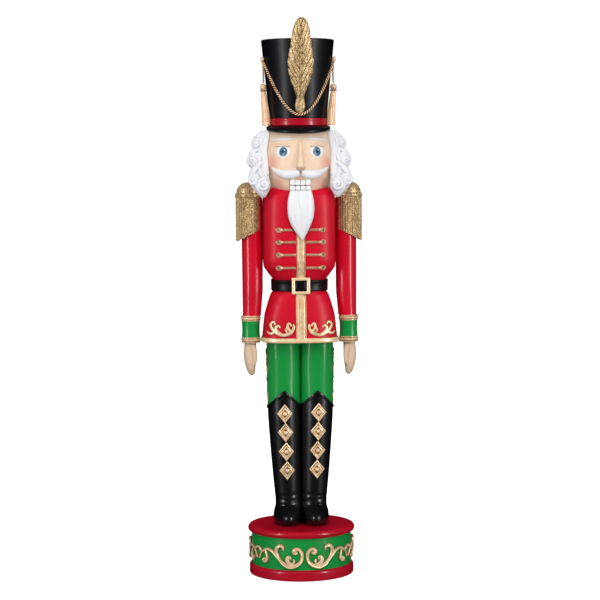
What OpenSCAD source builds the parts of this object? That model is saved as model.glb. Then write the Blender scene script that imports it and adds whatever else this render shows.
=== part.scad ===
// Standing nutcracker soldier: turned and carved pieces on dowels, a lever-worked
// jaw on a cross pin and two arms that swing on shoulder pins.
// +Z is up, the face looks along -Y, and +X is the figure's own left.

/* [Base] */
// Radius of the green drum
drum_r = 83; // [75:1:90]
// Height of the red foot moulding
foot_h = 18; // [12:1:24]
// Height of the whole base
base_h = 82; // [78:1:90]
// How far the red cap stands out past the drum
cap_lip = 5.6; // [3:0.1:8]

/* [Legs] */
// Height of the boots' front points
boot_top = 301; // [295:1:305]
// Height of the boots' edge at the sides
boot_side = 275; // [268:1:285]
// Height of the coat's hem
hem_z = 386; // [384:1:388]

/* [Body] */
// Half width of the coat's hem
hem_a = 62.4; // [58:0.1:62.4]
// Half width of the chest
chest_a = 59; // [55:0.5:59]
// Half depth of the chest
chest_b = 50; // [46:0.5:50]
// Half width of the waist
waist_a = 44; // [40:0.5:46]
// Height of the chest's top, where the head sits
collar_z = 634; // [634:1:634]

/* [Jaw] */
// Width of the jaw lever
lever_w = 24; // [18:1:24]
// Depth of the jaw pin's axis, from the middle
pin_y = -4; // [-6:0.5:-2]
// Height of the jaw pin's axis
pin_z = 556; // [554:1:558]
// Radius of the jaw pin
pin_r = 4; // [3:0.5:4]

/* [Arms] */
// Height of the shoulder pins
shoulder_z = 612; // [608:1:613]
// Radius of the shoulder pins
shoulder_r = 5; // [4:0.5:5]
// Distance of the upper arm's axis from the middle
arm_x = 77.3; // [77.3:0.1:79]

/* [Hat] */
// Radius of the crown at its lower edge
crown_r1 = 46; // [44:0.5:47]
// Radius of the crown at its top
crown_r2 = 60; // [56:0.5:62]
// Height of the crown's top
crown_top = 880; // [870:1:890]
// Sideways lean of the feather in degrees
feather_lean = 1; // [0:0.5:2]

/* [Hidden] */
$fn = 96;

red = "crimson";
green = "forestgreen";
gold = "burlywood";
glitter_gold = "darkgoldenrod";
lacquer_black = "#151517";
flesh = "#e6c3a0";
hand_flesh = "#dcc6b2";
hair_white = "whitesmoke";
bare_wood = "#c9a26b";
brass = "#b08d4a";

skin = 0.25;         // air left between a relief and the surface it lies on
run_gap = 0.05;      // radial clearance of a running fit
cap_h = 12;
foot_r = drum_r + 3.5;
cap_r = drum_r + cap_lip;
drum_wall = 12;
leg_x = 27.6;        // the legs' axes at the hip
ankle_x = 22.8;      // and at the foot
boot_floor = 262;    // where a leg ends inside its boot
dowel_r = 5;
dowel_l = 40;
waist_b = 38;
belt_low = 470;
belt_high = 488.6;
body_split = 479;    // the chest and the skirt meet under the belt
head_r = 53.5;
brim_low = 731;
brim_high = 740;
band_h = 11.5;
mouth_z = 642.4;     // the line where the teeth meet
teeth_w = 34;
mouth_top = 652;
beard_back = -55.2;
cuff_x = 80;
ring_x = 80.8;
epaulette_x = 82.5;
epaulette_r = 22.8;
cap_z = 622;

// ---------------------------------------------------------------- outlines
// [height, half width, half depth, centre x, centre y, power]
chest_levels = [
    [body_split, waist_a, waist_b, 0, 0, 2.4],
    [490, waist_a, waist_b, 0, 0, 2.4],
    [498, waist_a + 7, waist_b + 5, 0, 0, 2.5],
    [509, chest_a - 1.2, chest_b - 2.5, 0, 0, 2.6],
    [521, chest_a, chest_b, 0, 0, 2.6],
    [600, chest_a, chest_b, 0, 0, 2.6],
    [618, chest_a, chest_b - 1, 0, 0, 2.6],
    [626, chest_a - 1.5, chest_b - 2.5, 0, 0, 2.5],
    [631, chest_a - 6, chest_b - 4, 0, 0, 2.4],
    [collar_z, chest_a - 11, chest_b - 5.5, 0, 0, 2.2]
];
skirt_levels = [
    [hem_z, hem_a, 48, 0, 0, 2.9],
    [430, hem_a - 4, 45, 0, 0, 2.8],
    [450, hem_a - 8, 42, 0, 0, 2.6],
    [465, waist_a + 2.5, waist_b + 1, 0, 0, 2.5],
    [469, waist_a, waist_b, 0, 0, 2.4],
    [body_split, waist_a, waist_b, 0, 0, 2.4]
];
boot_levels = [
    [base_h, 22.6, 33, ankle_x, -7, 2.6],
    [92, 22.5, 33.5, ankle_x, -7, 2.5],
    [103, 22, 31, 22.4, -6, 2.3],
    [110, 21.6, 25, 22.1, -2, 2.1],
    [118, 21.6, 22.5, 22, 1, 2],
    [140, 22.2, 22.6, 22.6, 1, 2],
    [167, 23.2, 23.5, 23.6, 0.5, 2],
    [201, 24.6, 25, 25, 0, 2],
    [234, 25.8, 26.3, 26.2, 0, 2],
    [boot_floor, 26.8, 27.1, 27.1, 0, 2],
    [boot_top, 27.3, 27.6, leg_x, 0, 2]
];
sleeve_levels = [
    [429, 14.5, 14.5, 79, 0, 2],
    [440, 15.2, 15.2, 78.5, 0, 2],
    [470, 17.2, 17.2, arm_x, 0, 2],
    [500, 17.4, 17.4, arm_x, 0, 2],
    [540, 17.2, 17.2, arm_x, 0, 2],
    [cap_z, 17.2, 17.2, arm_x, 0, 2]
];
hand_levels = [
    [330, 2.6, 3.6, 80.2, -4, 2],
    [333, 5.4, 7, 80.6, -4, 2.2],
    [342, 8.6, 11, 82, -4, 2.3],
    [356, 11.2, 13.5, 83, -3, 2.3],
    [374, 11.4, 12.5, 82.2, -1, 2.2],
    [384, 9.5, 10, 81.4, 0, 2]
];
beard_levels = [
    [553, 1.2, 0.9, 0, beard_back - 1, 2],
    [562, 8, 2.6, 0, beard_back - 2.7, 2.2],
    [572, 13.5, 3.7, 0, beard_back - 3.8, 2.3],
    [585, 20, 4.5, 0, beard_back - 4.6, 2.4],
    [600, 23, 4.6, 0, beard_back - 4.7, 2.4],
    [612, 22.8, 4.2, 0, beard_back - 4.3, 2.4],
    [625, 19.5, 3, 0, beard_back - 3.1, 2.4],
    [collar_z, 16.8, 1.6, 0, beard_back - 1.7, 2.4]
];
head_outline = [
    [44, collar_z], [47.5, 641], [51.5, 655], [head_r, 675], [head_r - 0.3, 695],
    [50.5, 715], [47.5, brim_low]
];
feather_outline = [  // [share of the length, half width]
    [0, 1.5], [0.03, 7.5], [0.07, 8.6], [0.14, 5.4], [0.24, 11.5], [0.36, 17.8],
    [0.5, 21], [0.62, 20], [0.74, 16], [0.86, 12], [0.95, 6.5], [1, 0.8]
];
lever_outline = [  // [depth, height] of the jaw lever's side
    [-55, collar_z], [-55, 592], [-40, 588], [-17, 568], [-14, 546], [6, 546],
    [14, 562], [51, 574], [53, 424], [56, 418], [61, 418], [64, 424], [65, 586],
    [58, 598], [30, 606], [14, 622], [-10, 632], [-38, collar_z]
];
slot_outline = [   // the slot in the chest that the lever moves in
    [-70, 650], [-70, 574], [-42, 574], [-24, 560], [-22, 538], [14, 538],
    [22, 550], [70, 556], [70, 650]
];

// ---------------------------------------------------------------- helpers
function level_at(levels, z, i) = lookup(z, [for (l = levels) [l[0], l[i]]]);
function signed_power(v, p) = sign(v) * pow(abs(v), p);

// One closed outline of a lofted body.
function loft_ring(l, n) = [
    for (k = [0 : n - 1])
        let (t = 360 * k / n)
        [l[3] + l[1] * signed_power(cos(t), 2 / l[5]),
         l[4] + l[2] * signed_power(sin(t), 2 / l[5]),
         l[0]]
];

// Depth of a lofted body's front at height z and distance x from the middle plane.
function front_y(levels, x, z) =
    let (a = level_at(levels, z, 1), b = level_at(levels, z, 2),
         cx = level_at(levels, z, 3), cy = level_at(levels, z, 4),
         p = level_at(levels, z, 5), u = min(abs(x - cx) / a, 0.999))
    cy - b * pow(1 - pow(u, p), 1 / p);

// The way a lofted body's front faces there.
function front_out(levels, x, z) = [
    (front_y(levels, x + 0.5, z) - front_y(levels, x - 0.5, z)),
    -1,
    (front_y(levels, x, z + 0.5) - front_y(levels, x, z - 0.5))
];

// Radius of the turned head at height z.
function head_at(z) = lookup(z, [for (p = head_outline) [p[1], p[0]]]);
function crown_at(z) =
    crown_r1 + (crown_r2 - crown_r1) * (z - brim_high) / (crown_top - brim_high);
function unit(v) = v / norm(v);
function along(points, i) = unit(points[min(i + 1, len(points) - 1)] - points[max(i - 1, 0)]);

// Faces of a closed body made of rings of n points each.
function ring_faces(rings, n) = concat(
    [[for (k = [0 : n - 1]) k]],
    [[for (k = [n - 1 : -1 : 0]) (rings - 1) * n + k]],
    [for (i = [0 : rings - 2], k = [0 : n - 1])
        let (j = (k + 1) % n) [i * n + k, (i + 1) * n + k, (i + 1) * n + j]],
    [for (i = [0 : rings - 2], k = [0 : n - 1])
        let (j = (k + 1) % n) [i * n + k, (i + 1) * n + j, i * n + j]]
);

// A body through a list of levels, lowest first.
module loft(levels, n = 48) {
    polyhedron(
        points = [for (l = levels) each loft_ring(l, n)],
        faces = ring_faces(len(levels), n)
    );
}

relief_section = [[-1, 0], [-0.85, 0.55], [-0.45, 0.9], [0.45, 0.9], [0.85, 0.55], [1, 0]];

// A raised, flat-backed band along points that lie on a surface.
// sizes are [half width, height], and normals point out of the surface.
module relief(points, sizes, normals) {
    n = len(relief_section);
    polyhedron(
        points = [
            for (i = [0 : len(points) - 1])
                let (t = along(points, i), out = unit(normals[i] - (normals[i] * t) * t),
                     side = cross(t, out))
                for (s = relief_section)
                    points[i] + side * s[0] * sizes[i][0] + out * (skin + s[1] * sizes[i][1])
        ],
        faces = ring_faces(len(points), n)
    );
}

// A round cord through points, with one frame direction per point.
module round_tube(points, r, normals, sides = 8) {
    polyhedron(
        points = [
            for (i = [0 : len(points) - 1])
                let (t = along(points, i), out = unit(normals[i] - (normals[i] * t) * t),
                     side = cross(t, out))
                for (k = [0 : sides - 1])
                    points[i] + r * (cos(360 * k / sides) * side + sin(360 * k / sides) * out)
        ],
        faces = ring_faces(len(points), sides)
    );
}

module ring(r_out, r_in, low, high) {
    translate([0, 0, low]) difference() {
        cylinder(h = high - low, r = r_out);
        translate([0, 0, -1]) cylinder(h = high - low + 2, r = r_in);
    }
}

module peg(r, l, at) {
    translate(at) cylinder(h = l, r = r);
}

module cross_peg(r, x1, x2, y, z) {
    translate([x1, y, z]) rotate([0, 90, 0]) cylinder(h = x2 - x1, r = r);
}

module both_sides() {
    children();
    mirror([1, 0, 0]) children();
}

// ---------------------------------------------------------------- base
module base_foot_moulding() {
    color(red) rotate_extrude() union() {
        square([foot_r - 5, foot_h]);
        translate([foot_r - 5, 5]) circle(r = 5, $fn = 48);
        translate([foot_r - 5, foot_h - 5]) circle(r = 5, $fn = 48);
        translate([0, 5]) square([foot_r, foot_h - 10]);
    }
}

module base_drum() {
    color(green) ring(drum_r, drum_r - drum_wall, foot_h, base_h - cap_h);
}

module base_top_cap() {
    color(red) difference() {
        rotate_extrude() union() {
            translate([0, base_h - cap_h]) square([cap_r - cap_h / 2, cap_h]);
            translate([cap_r - cap_h / 2, base_h - cap_h / 2]) circle(r = cap_h / 2, $fn = 48);
        }
        both_sides() peg(dowel_r, dowel_l, [ankle_x, 0, base_h - dowel_l / 2]);
    }
}

// One scroll of the drum's rinceau: u runs round the drum in mm, v is the height.
scroll_count = 8;
scroll_pitch = 2 * PI * drum_r / scroll_count;
function on_drum(u, v) =
    let (t = u / drum_r * 180 / PI) [drum_r * sin(t), -drum_r * cos(t), v];
function drum_out(u) = let (t = u / drum_r * 180 / PI) [sin(t), -cos(t), 0];

// A C scroll: most of a circle that tightens towards its end.
function c_scroll(cu, cv, r, from, sweep, steps) = [
    for (i = [0 : steps])
        let (s = i / steps, t = from + sweep * s, q = r * (1 - 0.55 * s * s))
        [cu + q * cos(t), cv + q * sin(t)]
];

module drum_stroke(path, w, h) {
    n = len(path) - 1;
    relief(
        [for (p = path) on_drum(p[0], p[1])],
        [for (i = [0 : n]) let (s = i / n) [w * (0.45 + 0.55 * sin(180 * s)), h]],
        [for (p = path) drum_out(p[0])]
    );
}

module drum_scroll(side) {
    mid = foot_h + (base_h - cap_h - foot_h) / 2;
    // the big C, and the tendril that leaves it outwards
    drum_stroke([for (p = c_scroll(scroll_pitch * 0.5, mid - 2, 19, -95, 215, 12))
        [side * p[0], p[1]]], 3.4, 2);
    drum_stroke([for (p = c_scroll(scroll_pitch * 0.5, mid + 3, 11, 262, -150, 8))
        [side * (p[0] - 11), p[1] - 6]], 2.4, 1.8);
}

module base_scrollwork() {
    color(gold) for (i = [0 : scroll_count / 2 - 1], side = [-1, 1])
        rotate([0, 0, i * 720 / scroll_count]) drum_scroll(side);
}

// ---------------------------------------------------------------- legs
module boot() {
    color(lacquer_black) difference() {
        intersection() {
            loft(boot_levels, 40);
            translate([0, 60, 0]) rotate([90, 0, 0]) linear_extrude(120) polygon([
                [-1, 0], [-1, boot_side], [leg_x, boot_top - 0.5], [60, boot_side], [60, 0]
            ]);
        }
        translate([leg_x, 0, boot_floor])
            cylinder(h = boot_top - boot_floor + 1, r1 = 25.5, r2 = 26.3);
        peg(dowel_r, dowel_l, [ankle_x, 0, base_h - dowel_l / 2]);
    }
}
module left_boot() { boot(); }
module right_boot() { mirror([1, 0, 0]) boot(); }

diamond_w = 12;
diamond_h = 14.2;
diamond_pitch = 31.2;
diamond_first = 265.5;
diamond_t = 1.8;

// A lozenge plate bent round the boot's front, made of columns from corner to corner.
module diamond(z0) {
    columns = [-1, -0.75, -0.5, -0.25, 0, 0.25, 0.5, 0.75, 1];
    cx = level_at(boot_levels, z0, 3);
    function point(u, v, lift) =
        let (z = z0 + v, x = cx + u * diamond_w)
        [x + lift * u * 0.45, front_y(boot_levels, x, z) - lift, z];
    polyhedron(
        points = [
            for (u = columns) let (h = max(diamond_h * (1 - abs(u)), 0.4))
                each [point(u, -h, 0.4), point(u, h, 0.4),
                      point(u, h, diamond_t), point(u, -h, diamond_t)]
        ],
        faces = ring_faces(len(columns), 4)
    );
}

module boot_diamonds() {
    color(gold) both_sides() for (i = [0 : 3]) diamond(diamond_first - i * diamond_pitch);
}

module boot_studs() {
    color(gold) both_sides() for (i = [0 : 3]) {
        z = diamond_first - i * diamond_pitch;
        x = level_at(boot_levels, z, 3);
        translate([x, front_y(boot_levels, x, z) - diamond_t - 0.6, z])
            rotate([90, 0, 0]) cylinder(h = 3, r1 = 3.8, r2 = 1.8);
    }
}

module trouser_leg() {
    color(green) difference() {
        translate([leg_x, 0, boot_floor])
            cylinder(h = hem_z - boot_floor, r1 = 25.3, r2 = 27.4);
        peg(dowel_r, dowel_l, [leg_x, 0, hem_z - dowel_l / 2]);
    }
}
module left_trouser_leg() { trouser_leg(); }
module right_trouser_leg() { mirror([1, 0, 0]) trouser_leg(); }

// A wavy braid down each leg's outer side.
function trouser_r(z) = 25.3 + 2.1 * (z - boot_floor) / (hem_z - boot_floor);
module trouser_side_trims() {
    steps = 32;
    low = 284;
    high = 378;
    path = [
        for (i = [0 : steps])
            let (z = low + (high - low) * i / steps, t = 11 * sin(360 * 2.5 * i / steps))
            [trouser_r(z) * cos(t), trouser_r(z) * sin(t), z]
    ];
    color(gold) both_sides() translate([leg_x, 0, 0])
        relief(path, [for (p = path) [2.4, 1.3]], [for (p = path) [p[0], p[1], 0]]);
}

module leg_dowels() {
    color(bare_wood) both_sides() {
        peg(dowel_r, dowel_l, [ankle_x, 0, base_h - dowel_l / 2]);
        peg(dowel_r, dowel_l, [leg_x, 0, hem_z - dowel_l / 2]);
    }
}

// ---------------------------------------------------------------- coat
module coat_skirt() {
    color(red) difference() {
        loft(skirt_levels, 64);
        both_sides() peg(dowel_r, dowel_l, [leg_x, 0, hem_z - dowel_l / 2]);
        peg(8, 48, [0, 0, body_split - 24]);
    }
}

module coat_chest() {
    color(red) difference() {
        loft(chest_levels, 64);
        slot_w = lever_w + 0.8;
        translate([-slot_w / 2, 0, 0]) rotate([90, 0, 90])
            linear_extrude(slot_w) polygon(slot_outline);
        // room for the lower teeth to swing out over the collar
        translate([-teeth_w / 2 - 0.6, -70, collar_z - 5]) cube([teeth_w + 1.2, 33, 10]);
        cross_peg(pin_r, -32, 32, pin_y, pin_z);
        both_sides() {
            cross_peg(shoulder_r + run_gap, 36, 70, 0, shoulder_z);
            peg(4, 36, [30, 10, collar_z - 18]);
        }
        peg(8, 48, [0, 0, body_split - 24]);
    }
}

module waist_dowel() { color(bare_wood) peg(8, 48, [0, 0, body_split - 24]); }

// Outline of the skirt or chest made larger by grow all round.
function grown(levels, low, high, grow) = [
    for (z = [low, high]) [
        z, level_at(levels, z, 1) + grow, level_at(levels, z, 2) + grow, 0, 0,
        level_at(levels, z, 5)]
];

module hem_band() {
    low = hem_z;
    high = hem_z + 8.4;
    color(gold) difference() {
        loft(grown(skirt_levels, low, high, 0.8), 64);
        translate([0, 0, -0.01]) loft(grown(skirt_levels, low - 0.01, high + 0.03, 0.05), 64);
    }
}

// A flat strip down the middle of the front, on a lofted body.
module front_strip(levels, low, high, half_w, t) {
    inner = [for (l = levels) if (l[0] > low && l[0] < high) l[0]];
    heights = concat([low], inner, [high]);
    polyhedron(
        points = [
            for (z = heights) let (y = -level_at(levels, z, 2))
                each [[-half_w, y - skin, z], [half_w, y - skin, z],
                      [half_w, y - t, z], [-half_w, y - t, z]]
        ],
        faces = ring_faces(len(heights), 4)
    );
}

module skirt_placket() {
    color(gold) front_strip(skirt_levels, hem_z + 8.5, belt_low - 0.2, 8.6, 1.4);
}
module chest_placket() {
    color(gold) front_strip(chest_levels, belt_high + 0.2, 570, 7.2, 1.4);
}

function on_front(levels, x, z) = [x, front_y(levels, x, z), z];
module skirt_stroke(path, w, h) {
    n = len(path) - 1;
    relief(
        [for (p = path) on_front(skirt_levels, p[0], p[1])],
        [for (i = [0 : n]) [w * (0.4 + 0.6 * sin(180 * i / n)), h]],
        [for (p = path) front_out(skirt_levels, p[0], p[1])]
    );
}

module skirt_scrolls() {
    color(gold) both_sides() {
        skirt_stroke(c_scroll(24, 413, 14.5, -175, 190, 12), 2.6, 1.7);
        skirt_stroke(c_scroll(43, 407, 9, 205, 150, 8), 2, 1.5);
    }
}

frog_rows = [507, 528, 548.5, 568.5];
module coat_frogging() {
    steps = 9;
    color(gold) both_sides() for (z = frog_rows) {
        xs = [for (i = [0 : steps]) 8.2 + 29 * i / steps];
        relief(
            [for (x = xs) on_front(chest_levels, x, z)],
            [for (i = [0 : steps]) i < 6 ? [1.4, 1.5] : [i == steps ? 1 : 2.8, 2.1]],
            [for (x = xs) front_out(chest_levels, x, z)]
        );
    }
}

module belt() {
    color(lacquer_black) difference() {
        loft(grown(chest_levels, belt_low, belt_high, 3), 64);
        loft(grown(chest_levels, belt_low - 1, belt_high + 1, 0.05), 64);
    }
}

module belt_buckle() {
    half_w = 14.8;
    half_h = 13.9;
    rail = 5.4;
    mid = (belt_low + belt_high) / 2;
    front = waist_b + 3;
    color(gold) translate([0, -front - 0.6, mid]) rotate([90, 0, 0]) difference() {
        linear_extrude(3.4) square([2 * half_w, 2 * half_h], center = true);
        translate([0, 0, -1]) linear_extrude(6)
            square([2 * (half_w - rail), 2 * (half_h - rail)], center = true);
    }
}

// ---------------------------------------------------------------- head
module head_solid(grow = 0) {
    rotate_extrude() polygon(concat(
        [[0, collar_z]], [for (p = head_outline) [p[0] + grow, p[1]]], [[0, brim_low]]
    ));
}

module head_block() {
    cavity_w = 30;
    color(flesh) difference() {
        head_solid();
        translate([-teeth_w / 2 - 0.3, -70, collar_z - 1])
            cube([teeth_w + 0.6, 28, mouth_top - collar_z + 1]);
        translate([-cavity_w / 2, -44, collar_z - 1])
            cube([cavity_w, 64, mouth_top - collar_z + 1]);
        both_sides() peg(4, 36, [30, 10, collar_z - 18]);
        peg(8, 26, [0, 0, brim_high - 26]);
    }
}

module neck_dowels() { color(bare_wood) both_sides() peg(4, 36, [30, 10, collar_z - 18]); }

// A point on the face at angle t from the front.
function on_head(t, z) = [head_at(z) * sin(t), -head_at(z) * cos(t), z];
function head_out(t, z) = [sin(t), -cos(t), (head_at(z - 1) - head_at(z + 1)) / 2];
function head_faces(p) = head_out(atan2(p[0], -p[1]), p[2]);

module nose() {
    steps = 6;
    top = 716;
    low = 670;
    color(flesh) relief(
        [for (i = [0 : steps]) on_head(0, top - (top - low) * i / steps)],
        [for (i = [0 : steps]) let (s = i / steps) [2.8 + 5 * s, 2 + 14.5 * pow(s, 0.9)]],
        [for (i = [0 : steps]) [0, -1, 0]]
    );
}

eye_angle = 33;
eye_z = 696;
module eyes() {
    bulge = 1.4;
    ball = 34;
    color(hair_white) both_sides() difference() {
        translate((head_at(eye_z) + bulge - ball) * [sin(eye_angle), -cos(eye_angle), 0] + [0, 0, eye_z])
            sphere(r = ball);
        head_solid(skin);
        translate([0, 0, -1]) cylinder(h = 1000, r = 30);
    }
}

module eyebrows() {
    steps = 8;
    path = [
        for (i = [0 : steps])
            let (t = 11 + 40 * i / steps) on_head(t, 716.5 + 1.6 * sin(180 * i / steps))
    ];
    color(hair_white) both_sides() relief(
        path,
        [for (i = [0 : steps]) [0.7 + 1.2 * sin(20 + 150 * i / steps), 1.4]],
        [for (p = path) head_faces(p)]
    );
}

module moustache() {
    steps = 12;
    path = [
        for (i = [0 : steps])
            let (s = i / steps) on_head(1.5 + 56.5 * s, 660.5 - 3.5 * sin(180 * s) + 8.5 * s * s)
    ];
    color(hair_white) both_sides() relief(
        path,
        [for (i = [0 : steps]) let (s = i / steps) [0.5 + 6.4 * pow(1 - s, 0.7), 1.5 + 6 * (1 - s)]],
        [for (p = path) head_faces(p)]
    );
}

// A row of teeth with grooves cut in its front.
module teeth_row(low, high, front, back, grooves) {
    color(hair_white) difference() {
        translate([-teeth_w / 2, front, low]) cube([teeth_w, back - front, high - low]);
        for (x = grooves) translate([x - 0.4, front - 1, low - 1]) cube([0.8, 1.8, high - low + 2]);
    }
}
module upper_teeth() { teeth_row(mouth_z + 0.3, mouth_top, -52, -42.2, [-8.5, 0, 8.5]); }
module lower_teeth() { teeth_row(collar_z, mouth_z, -53, -42.2, [-8.5, 0, 8.5]); }

module hair_back() {
    color(hair_white) difference() {
        rotate_extrude() polygon([
            [30, collar_z + 0.3], [56, collar_z + 0.3], [61, 645], [64, 680], [60, 712],
            [52, brim_low - 0.3], [30, brim_low - 0.3]
        ]);
        head_solid(skin);
        translate([-80, -100, 600]) cube([160, 102, 200]);
    }
}

curl_balls = [  // [x, y, z, radius]
    [58, -14, 711, 12], [65, -14, 686, 15], [60, -17, 665, 14.5], [63.5, -34.5, 647, 15.5]
];
module hair_curls() {
    color(hair_white) difference() {
        union() for (c = curl_balls) translate([c[0], c[1], c[2]]) sphere(r = c[3]);
        head_solid(skin);
        translate([-5, 1.9, 600]) cube([100, 60, 200]);
    }
}
module left_hair_curls() { hair_curls(); }
module right_hair_curls() { mirror([1, 0, 0]) hair_curls(); }

// ---------------------------------------------------------------- hat
module hat_brim() {
    rim = 6;
    color(lacquer_black) difference() {
        union() {
            rotate_extrude() union() {
                translate([0, brim_high - rim]) square([52.4 - rim / 2, rim]);
                translate([52.4 - rim / 2, brim_high - rim / 2]) circle(r = rim / 2, $fn = 32);
            }
            translate([0, 0, brim_low]) cylinder(h = rim, r = 47.4);
            // the peak, which dips in front
            intersection() {
                translate([0, -9, 735]) rotate([9, 0, 0]) cylinder(h = 5, r = 53, center = true);
                translate([-60, -100, brim_low - 8]) cube([120, 100, 30]);
                difference() {
                    translate([0, 0, brim_low - 8]) cylinder(h = 30, r = 100);
                    translate([0, 0, brim_low - 9]) cylinder(h = 9.1, r = 47.6);
                }
            }
        }
        translate([0, 0, brim_high]) cylinder(h = 20, r = 70);
        head_solid(skin);
        peg(8, 26, [0, 0, brim_high - 26]);
    }
}

module hat_crown() {
    wall = 5;
    edge = 2.5;
    color(lacquer_black) rotate_extrude() difference() {
        union() {
            polygon([
                [0, brim_high], [crown_r1, brim_high], [crown_at(crown_top - edge), crown_top - edge],
                [crown_r2 - edge, crown_top], [0, crown_top]
            ]);
            translate([crown_r2 - edge - 0.1, crown_top - edge]) circle(r = edge, $fn = 32);
        }
        polygon([
            [-1, brim_high - 1], [crown_r1 - wall, brim_high - 1],
            [crown_at(crown_top - wall) - wall, crown_top - wall], [-1, crown_top - wall]
        ]);
    }
}

module hat_band() {
    top = brim_high + band_h;
    color(red) rotate_extrude() polygon([
        [crown_r1 + 0.1, brim_high + 0.1], [crown_r1 + 1.4, brim_high + 0.1],
        [crown_at(top) + 1.4, top], [crown_at(top) + 0.1, top]
    ]);
}

module hat_dowel() { color(bare_wood) peg(8, 26, [0, 0, brim_high - 26]); }

feather_low = 760;
feather_l = 153;
feather_t = 7;
module hat_feather() {
    flare = atan((crown_r2 - crown_r1) / (crown_top - brim_high));
    sides = concat(
        [for (p = feather_outline) [p[1], p[0] * feather_l]],
        [for (i = [len(feather_outline) - 1 : -1 : 0])
            [-feather_outline[i][1], feather_outline[i][0] * feather_l]]
    );
    color(glitter_gold)
        translate([0, -crown_at(feather_low) - 0.7, feather_low])
        rotate([90 + flare, 0, 0]) rotate([0, 0, -feather_lean])
        linear_extrude(feather_t) polygon(sides);
}

cord_r = 1.7;
cord_low = 756;
cord_end = 80;   // angle from the front where the cord is tied to the crown
// The swag hangs as a parabola over the width of the hat and lies on the crown.
function cord_height(x) = cord_low + 0.0275 * x * x;
function cord_point(t) =
    let (x = 57 * sin(t), z = cord_height(x), r = crown_at(z) + cord_r + 0.3)
    [r * sin(t), -r * cos(t), z];
module hat_cord() {
    steps = 48;
    path = [for (i = [0 : steps]) cord_point(-cord_end + 2 * cord_end * i / steps)];
    color(gold) round_tube(path, cord_r, [for (p = path) [p[0], p[1], 0]]);
}

// A tassel: [distance from its axis, height], and its hanging loop above.
tassel_outline = [
    [0, 740], [5, 741], [7, 745], [6.6, 755], [5.4, 775], [3.8, 792], [2.4, 796],
    [2.4, 798], [4.4, 801.5], [4.4, 806], [2.2, 810], [0, 811]
];
tassel_angle = 80;
module tassel() {
    lean = 3.5;
    color(gold) rotate([0, 0, tassel_angle]) translate([0, -54.6, 740]) rotate([lean, 0, 0])
        translate([0, 0, -740]) union() {
            rotate_extrude($fn = 48) polygon(tassel_outline);
            translate([0, 0, 808]) cylinder(h = 28, r = 1.5);
        }
}
module left_tassel() { tassel(); }
module right_tassel() { mirror([1, 0, 0]) tassel(); }

// ---------------------------------------------------------------- jaw
module jaw_pin() { color(brass) cross_peg(pin_r, -32, 32, pin_y, pin_z); }

module jaw_lever() {
    color(lacquer_black) difference() {
        translate([-lever_w / 2, 0, 0]) rotate([90, 0, 90])
            linear_extrude(lever_w) polygon(lever_outline);
        cross_peg(pin_r + run_gap, -20, 20, pin_y, pin_z);
    }
}

module beard() { color(hair_white) loft(beard_levels, 32); }

// ---------------------------------------------------------------- arms
module sleeve() {
    color(red) difference() {
        loft(sleeve_levels, 40);
        cross_peg(shoulder_r, 50, 86, 0, shoulder_z);
    }
}
module cuff() {
    color(green) translate([cuff_x, 0, 393.6]) cylinder(h = 26, r = 15.4);
}
module cuff_rings() {
    color(gold) for (low = [384.2, 419.8]) translate([ring_x, 0, low]) rotate_extrude() union() {
        square([14, 9.2]);
        translate([14, 4.6]) intersection() {
            circle(r = 4.6, $fn = 32);
            square([2.6, 20], center = true);
        }
        square([15.3, 9.2]);
    }
}
module hand() { color(hand_flesh) loft(hand_levels, 32); }

module epaulette_cap() {
    steps = 10;
    rise = 19;
    color(glitter_gold) translate([epaulette_x, 0, cap_z]) rotate_extrude() polygon(concat(
        [[0, 0.1], [epaulette_r - 1.5, 0.1], [epaulette_r, 1.6], [epaulette_r, 5.6],
         [epaulette_r - 2, 7]],
        [for (i = [0 : steps - 1]) let (t = 90 * i / steps)
            [(epaulette_r - 2.4) * cos(t), 7 + rise * sin(t)]],
        [[0, 7 + rise]]
    ));
}

// The bullion fringe: a sleeve round the upper arm, cut on a slant.
module epaulette_fringe() {
    slant = 27;
    color(glitter_gold) difference() {
        translate([epaulette_x, 0, 540]) cylinder(h = cap_z - 540, r = 20.4);
        translate([arm_x, 0, 530]) cylinder(h = 100, r = 17.4);
        translate([epaulette_x + 20.4, 0, 552]) rotate([0, slant, 0])
            translate([-100, -60, -100]) cube([200, 120, 100]);
    }
}

module shoulder_pin() { color(bare_wood) cross_peg(shoulder_r, 38, 86, 0, shoulder_z); }

module left_sleeve() { sleeve(); }
module right_sleeve() { mirror([1, 0, 0]) sleeve(); }
module left_cuff() { cuff(); }
module right_cuff() { mirror([1, 0, 0]) cuff(); }
module left_cuff_rings() { cuff_rings(); }
module right_cuff_rings() { mirror([1, 0, 0]) cuff_rings(); }
module left_hand() { hand(); }
module right_hand() { mirror([1, 0, 0]) hand(); }
module left_epaulette_cap() { epaulette_cap(); }
module right_epaulette_cap() { mirror([1, 0, 0]) epaulette_cap(); }
module left_epaulette_fringe() { epaulette_fringe(); }
module right_epaulette_fringe() { mirror([1, 0, 0]) epaulette_fringe(); }
module left_shoulder_pin() { shoulder_pin(); }
module right_shoulder_pin() { mirror([1, 0, 0]) shoulder_pin(); }

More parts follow.
